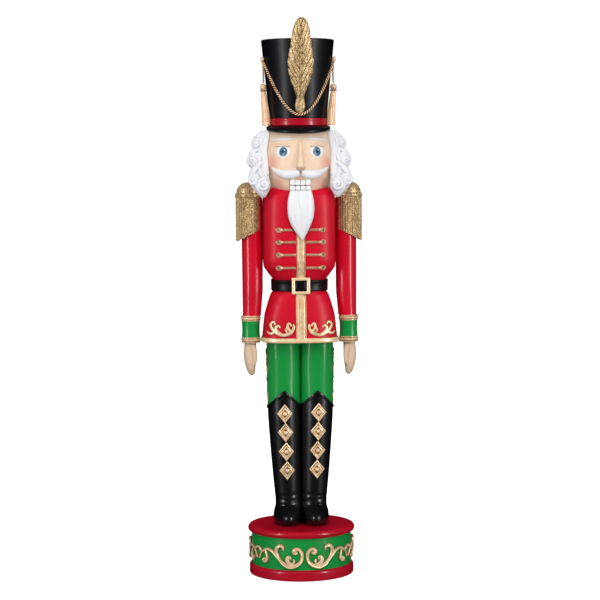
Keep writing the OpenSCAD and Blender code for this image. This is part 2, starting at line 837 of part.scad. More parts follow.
// ---------------------------------------------------------------- output
base_foot_moulding();
base_drum();
base_top_cap();
base_scrollwork();
right_boot();
left_boot();
boot_diamonds();
boot_studs();
right_trouser_leg();
left_trouser_leg();
trouser_side_trims();
leg_dowels();
coat_skirt();
coat_chest();
waist_dowel();
hem_band();
skirt_placket();
chest_placket();
skirt_scrolls();
coat_frogging();
belt();
belt_buckle();
head_block();
neck_dowels();
nose();
eyes();
eyebrows();
moustache();
upper_teeth();
hair_back();
right_hair_curls();
left_hair_curls();
hat_brim();
hat_crown();
hat_band();
hat_dowel();
hat_feather();
hat_cord();
right_tassel();
left_tassel();
jaw_pin();
jaw_lever();
lower_teeth();
beard();
right_sleeve();
right_cuff();
right_cuff_rings();
right_hand();
right_epaulette_cap();
right_epaulette_fringe();
right_shoulder_pin();
left_sleeve();
left_cuff();
left_cuff_rings();
left_hand();
left_epaulette_cap();
left_epaulette_fringe();
left_shoulder_pin();
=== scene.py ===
"""Looks for the nutcracker soldier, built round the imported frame. Lengths are millimetres until the
last moment: piece() turns them into the frame's metres."""
import math

import bmesh
import bpy
import numpy as np
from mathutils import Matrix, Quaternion, Vector


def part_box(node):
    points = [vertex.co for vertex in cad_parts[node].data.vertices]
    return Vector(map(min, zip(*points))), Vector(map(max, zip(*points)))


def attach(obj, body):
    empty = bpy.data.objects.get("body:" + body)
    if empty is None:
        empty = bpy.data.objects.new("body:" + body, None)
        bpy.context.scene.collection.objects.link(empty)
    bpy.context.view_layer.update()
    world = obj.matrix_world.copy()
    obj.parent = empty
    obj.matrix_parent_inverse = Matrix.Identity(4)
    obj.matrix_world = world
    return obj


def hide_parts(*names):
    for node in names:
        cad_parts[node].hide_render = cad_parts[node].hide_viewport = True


MM = 0.001
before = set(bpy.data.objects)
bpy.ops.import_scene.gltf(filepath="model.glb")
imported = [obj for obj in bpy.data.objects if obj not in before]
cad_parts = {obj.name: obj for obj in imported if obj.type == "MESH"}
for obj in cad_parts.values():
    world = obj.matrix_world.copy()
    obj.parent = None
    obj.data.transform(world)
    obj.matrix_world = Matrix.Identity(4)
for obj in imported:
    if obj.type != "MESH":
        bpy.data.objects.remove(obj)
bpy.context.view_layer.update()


def node_box(node):
    """Lowest and highest corners of a CAD node, in mm."""
    low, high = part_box(node)
    return np.array(low) / MM, np.array(high) / MM


# ------------------------------------------------------- driving sizes, read off the frame
DRUM_LOW, DRUM_HIGH = node_box("base_drum")
CAP_LOW, CAP_HIGH = node_box("base_top_cap")
SKIRT_LOW, SKIRT_HIGH = node_box("coat_skirt")
BELT_LOW, BELT_HIGH = node_box("belt")
HEAD_LOW, HEAD_HIGH = node_box("head_block")
CROWN_LOW, CROWN_HIGH = node_box("hat_crown")
PLUME_LOW, PLUME_HIGH = node_box("hat_feather")
SLEEVE_LOW, SLEEVE_HIGH = node_box("left_sleeve")
RING_LOW, RING_HIGH = node_box("left_cuff_rings")
HAND_LOW, HAND_HIGH = node_box("left_hand")
DOME_LOW, DOME_HIGH = node_box("left_epaulette_cap")
BEARD_LOW, BEARD_HIGH = node_box("beard")
CHEST_HIGH = node_box("coat_chest")[1]
FRINGE_HIGH = node_box("left_epaulette_fringe")[1]
FOOT_R = node_box("base_foot_moulding")[1][0]
BOOT_TOP = node_box("left_boot")[1][2]
LEVER_HALF = node_box("jaw_lever")[1][0]
TASSEL_FOOT = node_box("left_tassel")[0][2]

AXIS = 0.2  # turned profiles start and end at this radius, so their ends close
SIDES = ((1, "left"), (-1, "right"))


# ------------------------------------------------------- mesh building
def soft(x, xs, ys, w=2.0):
    """A broken line through (xs, ys) with its corners rounded over a width w."""
    return np.mean([np.interp(np.asarray(x) + o, xs, ys) for o in np.linspace(-w, w, 9)], axis=0)


def loft(rows, capped=True):
    """A body through rows of points, each row a closed loop. capped closes its two ends."""
    P = np.array(rows, float)
    count, cols = P.shape[:2]
    at = lambda i, j: i * cols + j % cols
    faces = [(at(i, j), at(i, j + 1), at(i + 1, j + 1), at(i + 1, j))
             for i in range(count - 1) for j in range(cols)]
    if capped:
        faces.append(tuple(range(cols)))
        faces.append(tuple((count - 1) * cols + j for j in range(cols)))
    return P.reshape(-1, 3), faces


def around(n):
    """n angles round a circle."""
    return np.linspace(0, 2 * math.pi, n, endpoint=False)


def oval(t, z, a, b=None, cx=0.0, cy=0.0):
    """A loop of points with half widths a and b, at height z."""
    return np.stack([cx + a * np.cos(t), cy + (a if b is None else b) * np.sin(t), z + 0 * t], axis=1)


def lathe(profile, n=160, cx=0.0):
    """A turned body: profile is a list of [radius, height], and discs close its two ends."""
    return loft([oval(around(n), z, r, cx=cx) for r, z in profile])


def arc(cx, cz, r, a0, a1, n=8):
    """Points of a profile's rounded corner, in degrees."""
    return [[cx + r * math.cos(math.radians(a)), cz + r * math.sin(math.radians(a))]
            for a in np.linspace(a0, a1, n)]


def frames(path, up=None):
    """Tangent, side and up directions along a path, without twist, or with up given per point."""
    T = np.gradient(path, axis=0)
    T /= np.linalg.norm(T, axis=1)[:, None]
    if up is None:
        ref = np.array([0, 0, 1.0]) if abs(T[0][2]) < 0.9 else np.array([0, 1.0, 0])
        ups = []
        for t in T:
            ref = ref - t * ref.dot(t)
            ref = ref / np.linalg.norm(ref)
            ups.append(ref)
        U = np.array(ups)
    else:
        U = np.asarray(up, float) - T * np.sum(T * up, axis=1)[:, None]
        U /= np.linalg.norm(U, axis=1)[:, None]
    return T, np.cross(T, U), U


def sweep(path, a, b=None, sides=12, up=None, grooves=0, depth=0.0, twist=0.0):
    """A rod along path with half width a and half thickness b, optionally grooved lengthwise."""
    path = np.asarray(path, float)
    n = len(path)
    a = np.broadcast_to(np.asarray(a, float), n)
    b = a if b is None else np.broadcast_to(np.asarray(b, float), n)
    _, S, U = frames(path, up)
    ph = around(sides)
    rows = []
    for i in range(n):
        k = 1 + depth * np.cos(grooves * ph + twist * i / n) if grooves else np.ones(sides)
        rows.append(path[i] + np.outer(a[i] * k * np.cos(ph), S[i]) + np.outer(b[i] * k * np.sin(ph), U[i]))
    return loft(rows)


def rope(path, r, pitch, sides=8, up=None):
    """A cord of two strands wound round a path, with painted shade between them."""
    path = np.asarray(path, float)
    s = np.concatenate([[0], np.cumsum(np.linalg.norm(np.diff(path, axis=0), axis=1))])
    fine = np.linspace(0, s[-1], max(int(s[-1] / pitch * 12), 8))
    resample = lambda q: np.stack([np.interp(fine, s, np.asarray(q, float)[:, k]) for k in range(3)], axis=1)
    path = resample(path)
    _, S, U = frames(path, None if up is None else resample(up))
    parts = []
    for half_turn in (0, 0.5):
        ph = 2 * math.pi * (fine / pitch + half_turn)
        line = path + 0.56 * r * (np.cos(ph)[:, None] * S + np.sin(ph)[:, None] * U)
        parts.append(shaded_by_axis(sweep(line, 0.50 * r, sides=sides), path, 0.91 * r, 1.04 * r))
    return parts


def shaded_by_axis(part, axis, near, far):
    """The part with painted shade on what lies nearer than near to an axis, fading out at far."""
    V, F = part[:2]
    rows = len(V) // len(axis)
    if len(V) == rows * len(axis):
        away = np.linalg.norm(V.reshape(len(axis), rows, 3) - np.asarray(axis)[:, None], axis=2).ravel()
    else:
        away = np.linalg.norm(V[:, None] - np.asarray(axis)[None], axis=2).min(axis=1)
    return V, F, np.clip((far - away) / (far - near), 0, 1)


def banded(part, browns):
    """The part with painted shade along some of its rows."""
    V, F = part
    return V, F, np.repeat(browns, len(V) // len(browns))


def ball(c, r, squash=(1, 1, 1), n=20):
    """A ball, or an egg with squash times the radius each way."""
    a, b, h = r * np.array(squash, float)
    return loft([oval(around(2 * n), c[2] - h * math.cos(p), a * math.sin(p), b * math.sin(p), c[0], c[1])
                 for p in np.linspace(0.02, math.pi - 0.02, n)])


def relief(path, width, height, normals, ridge=0.25):
    """A raised band on a surface, rounded on top, with painted shade along its edges."""
    path = np.asarray(path, float)
    n = len(path)
    width = np.broadcast_to(np.asarray(width, float), n)
    height = np.broadcast_to(np.asarray(height, float), n)
    _, S, U = frames(path, normals)
    sink = 0.5
    across = np.linspace(-1, 1, 9)
    rows = []
    for i in range(n):
        pts = [path[i] - S[i] * width[i] - U[i] * sink]
        for u in across:
            h = height[i] * (1 - abs(u) ** 2.6) ** 0.5 * (1 - ridge * math.exp(-(u / 0.28) ** 2))
            pts.append(path[i] + S[i] * width[i] * u + U[i] * h)
        pts.append(path[i] + S[i] * width[i] - U[i] * sink)
        rows.append(pts)
    brown = np.concatenate([[1.0], np.clip((np.abs(across) - 0.48) * 2.6, 0, 1), [1.0]])
    return (*loft(rows), np.tile(brown, n))


def swell(n, end, power=0.6, margin=0.03):
    """Widths along a brush stroke: end of the full width at its ends, all of it in the middle."""
    return end + (1 - end) * np.sin(math.pi * np.clip(np.linspace(0, 1, n), margin, 1 - margin)) ** power


def mirrored(parts):
    """The same parts on the figure's other side."""
    return [(q[0] * np.array([-1, 1, 1]), *q[1:]) for q in parts]


def on_side(side, parts):
    """Parts made for the left, on the side asked for."""
    return parts if side > 0 else mirrored(parts)


def curve(points, n):
    """A smooth path through a few points."""
    p = np.asarray(points, float)
    q = np.vstack([2 * p[0] - p[1], p, 2 * p[-1] - p[-2]])
    t = np.linspace(0, len(p) - 1.0001, n)
    i = t.astype(int)
    f = (t - i)[:, None]
    a, b, c, d = q[i], q[i + 1], q[i + 2], q[i + 3]
    return 0.5 * (2 * b + (c - a) * f + (2 * a - 5 * b + 4 * c - d) * f ** 2
                  + (3 * b - a - 3 * c + d) * f ** 3)


def recess_shade(me, shade_marks=None, reach=1.5):
    """Stores, per vertex, painted shade from how far it stands proud of the surface round it, out to reach
    mm: 0 in a recess or under the painted shade marks, 1 on a ridge."""
    n = len(me.vertices)
    V, N = np.empty(n * 3), np.empty(n * 3)
    E = np.empty(len(me.edges) * 2, np.int32)
    me.vertices.foreach_get("co", V)
    me.vertex_normals.foreach_get("vector", N)
    me.edges.foreach_get("vertices", E)
    V, N, E = V.reshape(-1, 3) / MM, N.reshape(-1, 3), E.reshape(-1, 2)
    ends, others = E.ravel(), E[:, ::-1].ravel()
    degree = np.maximum(np.bincount(ends, minlength=n), 1)

    def spread(X):
        """X averaged with the neighbours' values."""
        return 0.5 * X + 0.5 * np.stack([np.bincount(ends, x[others], n) / degree for x in X.T], axis=1)

    step = np.linalg.norm(V[E[:, 0]] - V[E[:, 1]], axis=1).mean()
    wide = V
    for _ in range(int(np.clip((reach / step) ** 2, 2, 70))):
        wide = spread(wide)
    hollow = np.sum((wide - V) * N, axis=1, keepdims=True) / reach
    for _ in range(2):
        hollow = spread(hollow)
    # painted shade: dark in the hollows, darker still under the marks
    shade = np.clip(0.62 - 3.2 * hollow[:, 0], 0, 1)
    if shade_marks is not None:
        shade *= 1 - 0.8 * shade_marks
    me.attributes.new("shade", "FLOAT", "POINT").data.foreach_set("value", shade)


def new_object(name, bm):
    """An object in the scene from a bmesh."""
    me = bpy.data.meshes.new(name)
    bm.to_mesh(me)
    bm.free()
    obj = bpy.data.objects.new(name, me)
    bpy.context.collection.objects.link(obj)
    return obj


def settle(obj):
    """Turns an object's modifiers into mesh."""
    done = bpy.data.meshes.new_from_object(obj.evaluated_get(bpy.context.evaluated_depsgraph_get()))
    obj.modifiers.clear()
    obj.data = done


def piece(name, parts, paint, replaces=None, body="figure", fuse=0.0, soften=0, reach=1.5):
    """One named piece from closed parts in mm. fuse joins them into one carved surface."""
    bm = bmesh.new()
    # painted shade that the parts mark on their vertices, passed on to recess_shade
    shade_marks = np.concatenate([q[2] if len(q) > 2 else np.zeros(len(q[0])) for q in parts])
    for q in parts:
        vs = [bm.verts.new(v) for v in np.asarray(q[0]) * MM]
        for f in q[1]:
            bm.faces.new([vs[i] for i in f])
    bmesh.ops.recalc_face_normals(bm, faces=bm.faces)
    obj = new_object(name, bm)
    if fuse:
        m = obj.modifiers.new("fuse", "REMESH")
        m.mode, m.voxel_size = "VOXEL", fuse * MM
    if soften:
        m = obj.modifiers.new("soften", "SMOOTH")
        m.iterations, m.factor = soften, 0.5
    if obj.modifiers:
        settle(obj)
    me = obj.data
    me.name = name
    me.shade_smooth()
    if hasattr(me, "set_sharp_from_angle"):
        me.set_sharp_from_angle(angle=math.radians(48))
    recess_shade(me, shade_marks if len(shade_marks) == len(me.vertices) else None, reach)
    me.materials.clear()
    me.materials.append(paint)
    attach(obj, body)
    if replaces:
        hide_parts(replaces)
    return obj


def cut_box(obj, low, high):
    """Cuts a box, given by its corners in mm, out of a piece."""
    bm = bmesh.new()
    bmesh.ops.create_cube(bm, size=1.0)
    for v in bm.verts:
        v.co = Vector([(low[k] if v.co[k] < 0 else high[k]) * MM for k in range(3)])
    tool = new_object("cutter", bm)
    m = obj.modifiers.new("cut", "BOOLEAN")
    m.operation, m.object, m.solver = "DIFFERENCE", tool, "EXACT"
    settle(obj)
    bpy.data.objects.remove(tool)


# ------------------------------------------------------- materials
class Nodes:
    """A small helper for wiring one material."""

    def __init__(self, name):
        self.mat = bpy.data.materials.new(name)
        self.mat.use_nodes = True
        self.tree = self.mat.node_tree
        self.shader = self.tree.nodes["Principled BSDF"]
        self.place = self.add("ShaderNodeTexCoord").outputs["Object"]

    def add(self, kind, links=(), **values):
        """A node with some inputs linked, and its settings or inputs given by name."""
        n = self.tree.nodes.new(kind)
        for key, v in values.items():
            if hasattr(n, key):
                setattr(n, key, v)
            else:
                n.inputs[key.replace("_", " ")].default_value = v
        for key, out in dict(links).items():
            self.tree.links.new(out, n.inputs[key])
        return n

    def noise(self, scale, detail=3.0, rough=0.5):
        """Noise over the object."""
        return self.add("ShaderNodeTexNoise", {"Vector": self.place}, Scale=scale, Detail=detail,
                        Roughness=rough).outputs["Fac"]

    def ramp(self, fac, stops):
        """A colour ramp from stops of (position, colour)."""
        r = self.add("ShaderNodeValToRGB", {"Fac": fac})
        while len(r.color_ramp.elements) < len(stops):
            r.color_ramp.elements.new(0.5)
        for e, (p, c) in zip(r.color_ramp.elements, stops):
            e.position, e.color = p, (*c, 1)
        return r.outputs["Color"]

    def mix(self, fac, a, b):
        """a where fac is 0, b where it is 1."""
        n = self.add("ShaderNodeMix", data_type="RGBA")
        for socket, v in ((n.inputs["Factor"], fac), (n.inputs["A"], a), (n.inputs["B"], b)):
            self.put(socket, v)
        return [o for o in n.outputs if o.type == "RGBA"][0]

    def put(self, socket, v):
        """Links or sets one input."""
        if hasattr(v, "is_linked"):
            self.tree.links.new(v, socket)
        elif isinstance(v, tuple):
            socket.default_value = (*v, 1)
        else:
            socket.default_value = v

    def map(self, value, at_low, at_high, low=0.0, high=1.0, **kinds):
        return self.add("ShaderNodeMapRange", {"Value": value}, From_Min=low, From_Max=high, To_Min=at_low,
                        To_Max=at_high, **kinds).outputs["Result"]

    def shade(self):
        """What recess_shade stored."""
        return self.add("ShaderNodeAttribute", attribute_name="shade").outputs["Fac"]

    def recess(self, full=0.2, none=0.58):
        """1 in the recesses, 0 on open surfaces: where painted shade goes."""
        return self.map(self.shade(), 1.0, 0.0, full, none)

    def bump(self, height, strength, distance):
        """Bumps distance mm high."""
        b = self.add("ShaderNodeBump", {"Height": height}, Strength=strength, Distance=distance * MM)
        self.tree.links.new(b.outputs["Normal"], self.shader.inputs["Normal"])

    def set(self, **values):
        """Sets the shader's inputs by name, and gives the material."""
        for key, v in values.items():
            self.put(self.shader.inputs[key.replace("_", " ")], v)
        return self.mat


def lacquer(name, color, dark, rough=0.36, coat=0.4, haze=0.2):
    """Hand-brushed gloss enamel: slow colour drift, brush streaks, and painted shade, darker in the recesses.
    """
    m = Nodes(name)
    drift = m.mix(m.map(m.noise(16, 4), 0.0, 0.42), color, dark)
    m.set(Base_Color=m.mix(m.recess(), drift, dark), Coat_Weight=coat, Coat_Roughness=haze,
          Roughness=m.map(m.noise(60, 5), rough - 0.05, rough + 0.1), Specular_IOR_Level=0.12)
    m.bump(m.noise(110, 6, 0.62), 0.02, 0.5)
    return m.mat


def antique_gold(name, base, bright, brown, ridge_highlight=0.75):
    """Gold paint over a brown undercoat that shows in patches; painted shade keeps the brown in the recesses
    and a painted highlight brightens the ridges. The last argument says how far the ridges are painted
    bright."""
    m = Nodes(name)
    rough = 0.3
    worn = m.ramp(m.noise(150, 6, 0.62), [(0.36, base), (0.62, bright)])
    patchy = m.mix(m.ramp(m.noise(55, 5), [(0.45, (0, 0, 0)), (0.75, (0.38, 0.38, 0.38))]), worn, brown)
    # ridges painted brighter: a painted highlight
    ridge_lit = m.mix(m.map(m.shade(), 0.0, ridge_highlight, 0.62, 0.95), patchy, bright)
    m.set(Base_Color=m.mix(m.recess(0.22, 0.58), ridge_lit, brown), Metallic=0.2,
          Roughness=m.map(m.noise(90, 4), rough - 0.08, rough + 0.12), Coat_Weight=0.6, Coat_Roughness=0.14)
    m.bump(m.noise(240, 5, 0.6), 0.3, 0.4)
    return m.mat


def glitter(name, base, bright, dark):
    """Gold glitter: each flake has its own tilt and brightness."""
    m = Nodes(name)
    flakes_per_metre = 800
    cells = m.add("ShaderNodeTexVoronoi", {"Vector": m.place}, Scale=flakes_per_metre)
    each = m.add("ShaderNodeSeparateColor", {"Color": cells.outputs["Color"]}).outputs["Red"]
    flakes = m.ramp(each, [(0.1, dark), (0.55, base), (0.92, bright)])
    # darker brown in the recesses: painted shade
    m.set(Base_Color=m.mix(m.recess(0.2, 0.56), flakes, (0.15, 0.085, 0.03)), Metallic=0.4,
          Roughness=m.map(each, 0.28, 0.6))
    m.bump(each, 0.4, 0.3)
    return m.mat


def carved_white(name, white, grey, rough=0.34):
    """White resin, with painted shade: greyer in its grooves."""
    m = Nodes(name)
    tone = m.mix(m.recess(0.15, 0.6), white, grey)
    m.set(Base_Color=m.mix(m.map(m.noise(50, 4), 0.0, 0.2), tone, grey), Coat_Weight=0.05,
          Specular_IOR_Level=0.25, Roughness=m.map(m.noise(80, 4), rough - 0.06, rough + 0.1))
    m.bump(m.noise(150, 5), 0.08, 0.4)
    return m.mat


def blush_at(m, centre, reach, strength):
    """strength at a point of the face, fading to 0 at reach."""
    away = m.add("ShaderNodeVectorMath", {0: m.place}, operation="DISTANCE")
    away.inputs[1].default_value = Vector(centre) * MM
    return m.map(away.outputs["Value"], strength, 0.0, 0.0, reach * MM, interpolation_type="SMOOTHSTEP")


def painted_skin(name, skin, deep, blush=None, spots=()):
    """Matt flesh paint, with blush worked in round the spots: (centre, reach, strength), and painted shade,
    the deep tone, in the recesses.
    """
    m = Nodes(name)
    rough = 0.42
    tone = m.mix(m.map(m.noise(22, 4), 0.0, 0.25), skin, deep)
    tone = m.mix(m.recess(0.1, 0.6), tone, deep)
    for centre, reach, strength in spots:
        tone = m.mix(blush_at(m, centre, reach, strength), tone, blush)
    m.set(Base_Color=tone, Roughness=m.map(m.noise(70, 4), rough - 0.06, rough + 0.1),
          Specular_IOR_Level=0.22)
    m.bump(m.noise(140, 5), 0.08, 0.4)
    return m.mat


def turned_wood(name, light, dark):
    """Bare wood with its rings."""
    m = Nodes(name)
    rings = m.add("ShaderNodeTexWave", {"Vector": m.place}, Scale=60.0, Distortion=6.0, Detail=3.0)
    m.set(Base_Color=m.mix(rings.outputs["Fac"], dark, light), Roughness=m.map(m.noise(90, 4), 0.5, 0.7))
    m.bump(rings.outputs["Fac"], 0.15, 0.2)
    return m.mat


def iris_paint():
    """Blue irises, darker to the rim, with fine streaks."""
    m = Nodes("iris_paint")
    tone = m.ramp(m.noise(900, 4, 0.6), [(0.3, (0.004, 0.07, 0.15)), (0.7, (0.016, 0.17, 0.31))])
    m.set(Base_Color=m.mix(m.map(m.shade(), 0.35, 0.0), tone, (0.01, 0.035, 0.08)), Coat_Weight=0.1,
          Roughness=m.map(m.noise(200, 3), 0.35, 0.45))
    return m.mat


# one cheek's blush and one lower down beside the chin, mirrored: place, reach, strength
BLUSHES = [((side * x, y, z), reach, strength)
           for x, y, z, reach, strength in ((44, -32, 680, 22, 0.6), (33, -41, 648, 17, 0.35))
           for side in (-1, 1)]

RED = lacquer("red_enamel", (0.66, 0.0015, 0.021), (0.33, 0.001, 0.010))
COAT_RED = lacquer("coat_enamel", (0.66, 0.0015, 0.021), (0.33, 0.001, 0.010), 0.42, 0.1, 0.3)
# the red enamel made darker, a painted shade, for the base and the hat band
BASE_RED = lacquer("base_enamel", (0.47, 0.001, 0.016), (0.24, 0.001, 0.008))
GREEN = lacquer("green_enamel", (0.006, 0.32, 0.052), (0.003, 0.15, 0.024))
BLACK = lacquer("black_enamel", (0.0035, 0.004, 0.0065), (0.002, 0.002, 0.0025), 0.4, 0.16, 0.32)
BOOT_BLACK = lacquer("boot_enamel", (0.0035, 0.004, 0.006), (0.0015, 0.0015, 0.002), 0.38, 0.75, 0.3)
GOLD = antique_gold("antique_gold", (0.80, 0.46, 0.21), (1.0, 0.76, 0.47), (0.11, 0.04, 0.011))
CORD_GOLD = antique_gold("cord_gold", (0.74, 0.40, 0.20), (1.0, 0.68, 0.43), (0.12, 0.04, 0.013), 0.45)
GLITTER = glitter("gold_glitter", (0.57, 0.375, 0.16), (0.95, 0.74, 0.44), (0.29, 0.175, 0.068))
BULLION = glitter("bullion_glitter", (0.42, 0.265, 0.115), (0.78, 0.56, 0.30), (0.20, 0.115, 0.045))
WHITE = carved_white("white_resin", (0.84, 0.845, 0.865), (0.33, 0.35, 0.41))
HAIR = carved_white("hair_resin", (0.80, 0.81, 0.84), (0.50, 0.515, 0.57))
TOOTH = carved_white("tooth_enamel", (0.86, 0.86, 0.85), (0.42, 0.42, 0.44), rough=0.25)
EYE_WHITE = carved_white("eye_white", (0.86, 0.87, 0.88), (0.45, 0.46, 0.50), rough=0.5)
IRIS = iris_paint()
PUPIL = painted_skin("pupil_paint", (0.006, 0.02, 0.045), (0.003, 0.01, 0.02))
FACE_SKIN = painted_skin("face_paint", (0.85, 0.64, 0.47), (0.76, 0.50, 0.35), (0.76, 0.24, 0.18), BLUSHES)
NOSE_SKIN = painted_skin("nose_paint", (0.83, 0.64, 0.46), (0.62, 0.36, 0.21))
HAND_SKIN = painted_skin("hand_paint", (0.68, 0.50, 0.36), (0.50, 0.33, 0.21))
LIP = painted_skin("lip_paint", (0.70, 0.43, 0.34), (0.55, 0.28, 0.2))
LINE_BROWN = painted_skin("lash_paint", (0.42, 0.27, 0.18), (0.28, 0.17, 0.11))
WOOD = turned_wood("bare_wood", (0.58, 0.36, 0.17), (0.36, 0.19, 0.08))
PIN_BRASS = antique_gold("pin_brass", (0.55, 0.38, 0.13), (0.8, 0.6, 0.25), (0.25, 0.15, 0.05))

SLOTS = {"red_lacquer": (RED, COAT_RED, BASE_RED), "green_lacquer": (GREEN,),
         "black_lacquer": (BLACK, BOOT_BLACK), "antique_gold": (GOLD, CORD_GOLD),
         "glitter_gold": (GLITTER, BULLION), "white_resin": (WHITE, HAIR, TOOTH, EYE_WHITE, IRIS, PUPIL),
         "flesh_paint": (FACE_SKIN, NOSE_SKIN, LIP, LINE_BROWN), "flesh_resin": (HAND_SKIN,)}
SLOT_OF = {paint.name: slot for slot, paints in SLOTS.items() for paint in paints}

# the hidden dowels and pins stay as CAD solids, and only take a material
SHOWN_CAD = {"leg_dowels": WOOD, "waist_dowel": WOOD, "neck_dowels": WOOD, "hat_dowel": WOOD,
             "left_shoulder_pin": WOOD, "right_shoulder_pin": WOOD, "jaw_pin": PIN_BRASS}
for node, paint in SHOWN_CAD.items():
    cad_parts[node].data.materials.clear()
    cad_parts[node].data.materials.append(paint)

# ------------------------------------------------------- base
DRUM_R, DRUM_MID = DRUM_HIGH[0], (DRUM_LOW[2] + DRUM_HIGH[2]) / 2 - 1.5
CAP_R = CAP_HIGH[0]
SCROLL_PAIRS = 3


def build_base():
    """The turned foot, the drum's wall with its slight bulge, and the round-edged cap."""
    z0, z1 = DRUM_LOW[2], DRUM_HIGH[2]
    foot = [[AXIS, 0]] + arc(FOOT_R - 3, 3, 3, -90, 0) + [[FOOT_R, z0 - 6]]
    foot += arc(FOOT_R - 5, z0 - 5, 5, 0, 90) + [[DRUM_R - 2, z0], [AXIS, z0]]
    piece("base_foot", [lathe(foot, 192)], BASE_RED, "base_foot_moulding")
    bulge = 0.9
    wall = [[DRUM_R - bulge + bulge * math.sin(math.pi * s), z0 + s * (z1 - z0)]
            for s in np.linspace(0, 1, 24)]
    ring = [[DRUM_R - 9, z0 - 0.2]] + wall + [[DRUM_R - 9, z1 + 0.2], [DRUM_R - 12, z1], [DRUM_R - 12, z0]]
    piece("base_drum_wall", [lathe(ring, 192)], GREEN, "base_drum")
    h = (CAP_HIGH[2] - CAP_LOW[2]) / 2
    cap = [[AXIS, z1], [DRUM_R - 3, z1]] + arc(CAP_R - h, z1 + h, h, -90, 90, 18)
    cap += [[CAP_R - 12, z1 + 2 * h], [AXIS, z1 + 2 * h]]
    piece("base_cap", [lathe(cap, 192)], BASE_RED, "base_top_cap")


def on_drum(u, v, pair, side):
    """A point of the drum's wall, u mm round from a pair's middle and v mm up, and the way it faces."""
    a = np.asarray(u) * side / DRUM_R + 2 * math.pi * pair / SCROLL_PAIRS
    out = np.stack([np.sin(a), -np.cos(a), 0 * a], axis=-1)
    point = DRUM_R * out
    point[..., 2] = DRUM_MID + v
    return point, out


def build_base_scrolls():
    """A rinceau of acanthus: mirrored pairs round the drum, each drawn outwards from its middle."""
    strokes = [  # path as (distance round the drum, height over the middle), points, half width, height
        ([[15, 7.5], [12.5, 4.8], [16, 3.8], [18.3, 7.5], [14.5, 11.3], [8.5, 9.8], [4.2, 2], [6, -9],
          [13.5, -15.6], [24, -18.2], [34, -13.6], [44, -4], [54, 5.4], [65, 8], [77, 2], [84, -9]],
         150, 2.6, 2.7),
        ([[30, -14.5], [40, -8], [46, 1.5], [46, 11], [41, 15.6], [35.6, 13.8], [35.2, 9.6]], 70, 2.7, 2.9),
        ([[12, -14.5], [19, -15.6], [25, -12.2], [28.5, -6], [25, -2.2], [22.6, -5.4]], 50, 2.9, 2.7),
        ([[20, -14], [17, -9.5], [18.2, -5.6]], 24, 1.7, 2.2),
        ([[70, 7], [66, 0], [64.8, -8], [69, -12.8], [73.5, -10.5], [71.6, -7.8]], 46, 2.3, 2.5),
        ([[77, 2], [81, 7], [87, 9.5]], 26, 1.8, 2.3),
    ]
    eyes = ((15.2, 7.2, 2.8), (35.6, 9.8, 2.2), (23.8, -5, 2.4), (71.8, -9, 2.0))  # round, up, radius
    places = [(k, side) for k in range(SCROLL_PAIRS) for side in (-1, 1)]
    parts = []
    for points, n, w, h in strokes:
        path = curve(points, n)
        belly = 1 + 0.2 * np.exp(-((path[:, 1] + 18) / 6) ** 2)
        width = swell(n, 0.45) * belly
        for place in places:
            P, N = on_drum(path[:, 0], path[:, 1], *place)
            parts.append(relief(P, 1.28 * w * width, 1.75 * h * width, N, ridge=0.2))
    for place in places:
        parts += [ball(on_drum(u, v, *place)[0], r, n=10) for u, v, r in eyes]
    piece("base_scrolls", parts, GOLD, "base_scrollwork")


build_base()
build_base_scrolls()

# ------------------------------------------------------- legs
LEG_X = 27.6
BOOT_DIP = 25
BOOT_EDGE = BOOT_TOP - BOOT_DIP
HEM_Z = SKIRT_LOW[2]
# the boot's height, half width, half depth and middle at a few stations
BOOT_Z = [82, 92, 103, 112, 120, 140, 167, 201, 234, 262, 301]
BOOT_A = [22.6, 23.6, 23.0, 20.6, 20.4, 21.6, 23.2, 24.6, 25.8, 26.7, 27.2]
BOOT_B = [27, 27.5, 26, 23, 22.3, 22.6, 23.5, 25, 26.3, 27.1, 27.5]
BOOT_X = [22.8, 22.8, 22.6, 22.2, 22, 22.6, 23.6, 25, 26.2, 27.1, 27.6]


def hump(x, middle, width):
    """A smooth hump, 1 at its middle."""
    return np.exp(-((x - middle) / width) ** 2)


def boot_at(z):
    """The boot's half width, half depth and middle at height z."""
    return (soft(z, BOOT_Z, v, 4) for v in (BOOT_A, BOOT_B, BOOT_X))


def boot_front(x, z):
    """Depth of the boot's front, for laying the diamonds on."""
    a, b, cx = boot_at(z)
    u = np.clip((np.asarray(x) - cx) / a, -0.98, 0.98)
    return -b * np.sqrt(1 - u * u)


